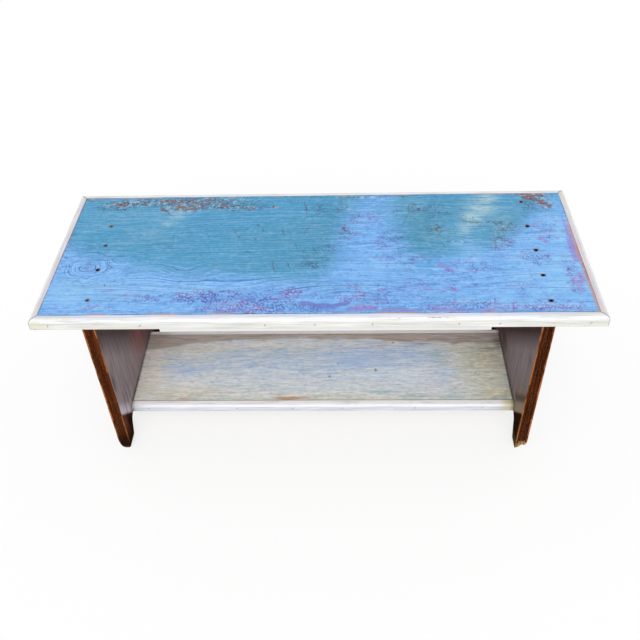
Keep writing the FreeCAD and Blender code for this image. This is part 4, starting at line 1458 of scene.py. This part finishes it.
class BENCH_OT_end_boards(bpy.types.Operator):
    """Adds the stained end boards with their foot cut-outs and worn arrises"""
    bl_idname = "bench.end_boards"
    bl_label = "End boards"

    def execute(self, context):
        sizes = context.scene.bench_sizes
        stain = stained_board(context.scene.bench_colours)
        for side_name, outer in (("left", -1), ("right", 1)):
            node = "end_board_" + side_name
            board, points, gap, side, face = end_board(
                node + "_stained", node, sizes, outer, 100 + outer,
            )
            low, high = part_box(node)
            y = points[:, 1] / MM
            z = points[:, 2] / MM
            through = (points[:, 0] - low.x) / (high.x - low.x)
            from_inner = through if outer > 0 else 1 - through
            front = y < FRONT_FOOT
            if side_name == "left":
                wear_foot_round(points, front, (low.x + high.x) / 2 - outer * TIP_SHIFT, outer)
            else:
                break_foot(points, front, from_inner)
            set_points(board, points)
            broad = tint_arrises(board, y, z, gap / MM, side / MM, face / MM, from_inner, outer)
            below_shelf_shade, brown = tint_inner_face(board, y, z, broad, from_inner, outer)
            tint_foot(board, y, z, below_shelf_shade, brown, from_inner, outer)
            finish_piece(board, stain, "walnut_stain", node)
        return {"FINISHED"}


# Nails, stage and the rest

def dull_steel(colours):
    """Cut steel nails, long oxidised: nearly black and rough, with rust in the pits."""
    material, tree, place, _ = new_material("Oxidised nail steel, cut and driven")
    pits = grain(tree, place, (1.6, 1.6, 1.6), 4.0)
    soft = grain(tree, place, (5, 5, 5), 3.0, 2.0)
    colour = coats(tree, colours.steel, [([(soft, 0.45, 0.7), 0.6], linear("6B4030"))])
    roughness = pile(tree, [(pits, 0.3), (1.0, 0.45)])
    finish_material(tree, colour, roughness, pits, 0.1, Metallic=0.6)
    return material


class BENCH_OT_nails(bpy.types.Operator):
    """Gives the set nails and brads their dull steel"""
    bl_idname = "bench.nails"
    bl_label = "Nails and brads"

    def execute(self, context):
        steel = dull_steel(context.scene.bench_colours)
        for name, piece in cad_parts.items():
            if "nails" in name or "brads" in name:
                piece.data.materials.clear()
                piece.data.materials.append(steel)
        return {"FINISHED"}


# The camera, as solved from the photo: metres, radians and its lens in mm on a 36 mm sensor

CAMERA_PLACE = (0.05964, -1.25836, 1.39700)
CAMERA_YAW = 0.0482815
CAMERA_PITCH = -0.7512799
CAMERA_ROLL = 0.0394839
CAMERA_LENS = 43.302
CAMERA_SENSOR = 36
FLOOR_SIZE = 30
SUN_STRENGTH = 1.72
SUN_SPREAD = math.radians(40)
SUN_TILT = math.radians(46)
SKY_STRENGTH = 0.62


def sees_white(tree, rays):
    """1 for each of the kinds of ray named, which are to see a plain white studio."""
    path = add_node(tree, "ShaderNodeLightPath").outputs
    seen = path[rays[0]]
    for ray in rays[1:]:
        seen = add_node(
            tree, "ShaderNodeMath", {0: seen, 1: path[ray]}, operation="MAXIMUM",
        ).outputs[0]
    return seen


def pale_floor():
    """A matt, nearly white floor that glows a little to the eye and keeps the bench's shadow."""
    material = bpy.data.materials.new("Pale studio floor")
    material.use_nodes = True
    tree = material.node_tree
    tree.nodes.clear()
    seen = sees_white(tree, ("Is Camera Ray", "Is Glossy Ray", "Is Transmission Ray"))
    lit = add_node(tree, "ShaderNodeBsdfDiffuse", {"Color": linear("F8F8F8")}).outputs[0]
    glow = add_node(
        tree, "ShaderNodeEmission", {"Color": (1, 1, 1, 1), "Strength": 1.03},
    ).outputs[0]
    share = add_node(tree, "ShaderNodeMath", {0: seen, 1: 0.7}, operation="MULTIPLY").outputs[0]
    mixed = add_node(tree, "ShaderNodeMixShader", {0: share, 1: lit, 2: glow})
    add_node(tree, "ShaderNodeOutputMaterial", {"Surface": mixed.outputs[0]})
    return material


def white_studio():
    """A world that lights the bench softly and looks plain white."""
    world = bpy.data.worlds.new("Soft white studio")
    world.use_nodes = True
    tree = world.node_tree
    tree.nodes.clear()
    seen = sees_white(tree, ("Is Camera Ray", "Is Transmission Ray"))
    soft = add_node(
        tree, "ShaderNodeBackground", {"Color": (1, 1, 1, 1), "Strength": SKY_STRENGTH},
    ).outputs[0]
    white = add_node(
        tree, "ShaderNodeBackground", {"Color": (1, 1, 1, 1), "Strength": 1.0},
    ).outputs[0]
    mixed = add_node(tree, "ShaderNodeMixShader", {0: seen, 1: soft, 2: white})
    add_node(tree, "ShaderNodeOutputWorld", {"Surface": mixed.outputs[0]})
    return world


def soft_sun():
    """A wide, soft sun from the front."""
    data = bpy.data.lights.new("Soft sun", "SUN")
    data.energy = SUN_STRENGTH
    data.angle = SUN_SPREAD
    sun = bpy.data.objects.new("Soft sun", data)
    sun.rotation_euler = (SUN_TILT, 0, 0)
    return sun


def photo_camera():
    """A camera where the photo was taken from."""
    data = bpy.data.cameras.new("Photo camera")
    data.lens = CAMERA_LENS
    data.sensor_width = CAMERA_SENSOR
    camera = bpy.data.objects.new("Photo camera", data)
    turn = (
        Matrix.Rotation(CAMERA_YAW, 4, "Z") @ Matrix.Rotation(CAMERA_PITCH, 4, "X")
        @ Matrix.Rotation(CAMERA_ROLL, 4, "Y") @ Matrix.Rotation(math.pi / 2, 4, "X")
    )
    camera.matrix_world = Matrix.Translation(CAMERA_PLACE) @ turn
    return camera


class BENCH_OT_stage(bpy.types.Operator):
    """Adds the pale floor, the soft studio light and the camera at the photo's viewing angle"""
    bl_idname = "bench.stage"
    bl_label = "Stage"

    def execute(self, context):
        scene = context.scene
        scene.view_settings.view_transform = "Standard"
        deselect()
        bpy.ops.mesh.primitive_plane_add(size=FLOOR_SIZE)
        floor = context.object
        floor.name = "studio_floor"
        floor.data.materials.append(pale_floor())
        scene.world = white_studio()
        scene.collection.objects.link(soft_sun())
        scene.camera = photo_camera()
        scene.collection.objects.link(scene.camera)
        return {"FINISHED"}


class BENCH_PT_panel(bpy.types.Panel):
    """Lists the bench's steps in order"""
    bl_idname = "BENCH_PT_panel"
    bl_label = "Bucket bench"
    bl_space_type = "VIEW_3D"
    bl_region_type = "UI"
    bl_category = "Bench"

    def draw(self, context):
        for step in STEPS:
            self.layout.operator(step.bl_idname)


STEPS = (
    BENCH_OT_stage, BENCH_OT_plank_top, BENCH_OT_top_mouldings, BENCH_OT_end_boards, BENCH_OT_shelf,
    BENCH_OT_shelf_mouldings, BENCH_OT_nails,
)
CLASSES = (BenchSizes, BenchColours) + STEPS + (BENCH_PT_panel,)


def register():
    for cls in CLASSES:
        bpy.utils.register_class(cls)
    bpy.types.Scene.bench_sizes = bpy.props.PointerProperty(type=BenchSizes)
    bpy.types.Scene.bench_colours = bpy.props.PointerProperty(type=BenchColours)


def unregister():
    del bpy.types.Scene.bench_colours
    del bpy.types.Scene.bench_sizes
    for cls in reversed(CLASSES):
        bpy.utils.unregister_class(cls)


def main():
    """Builds the whole scene."""
    register()
    bpy.ops.bench.stage()
    bpy.ops.bench.plank_top()
    bpy.ops.bench.top_mouldings()
    bpy.ops.bench.end_boards()
    bpy.ops.bench.shelf()
    bpy.ops.bench.shelf_mouldings()
    bpy.ops.bench.nails()


if __name__ == "__main__":
    main()
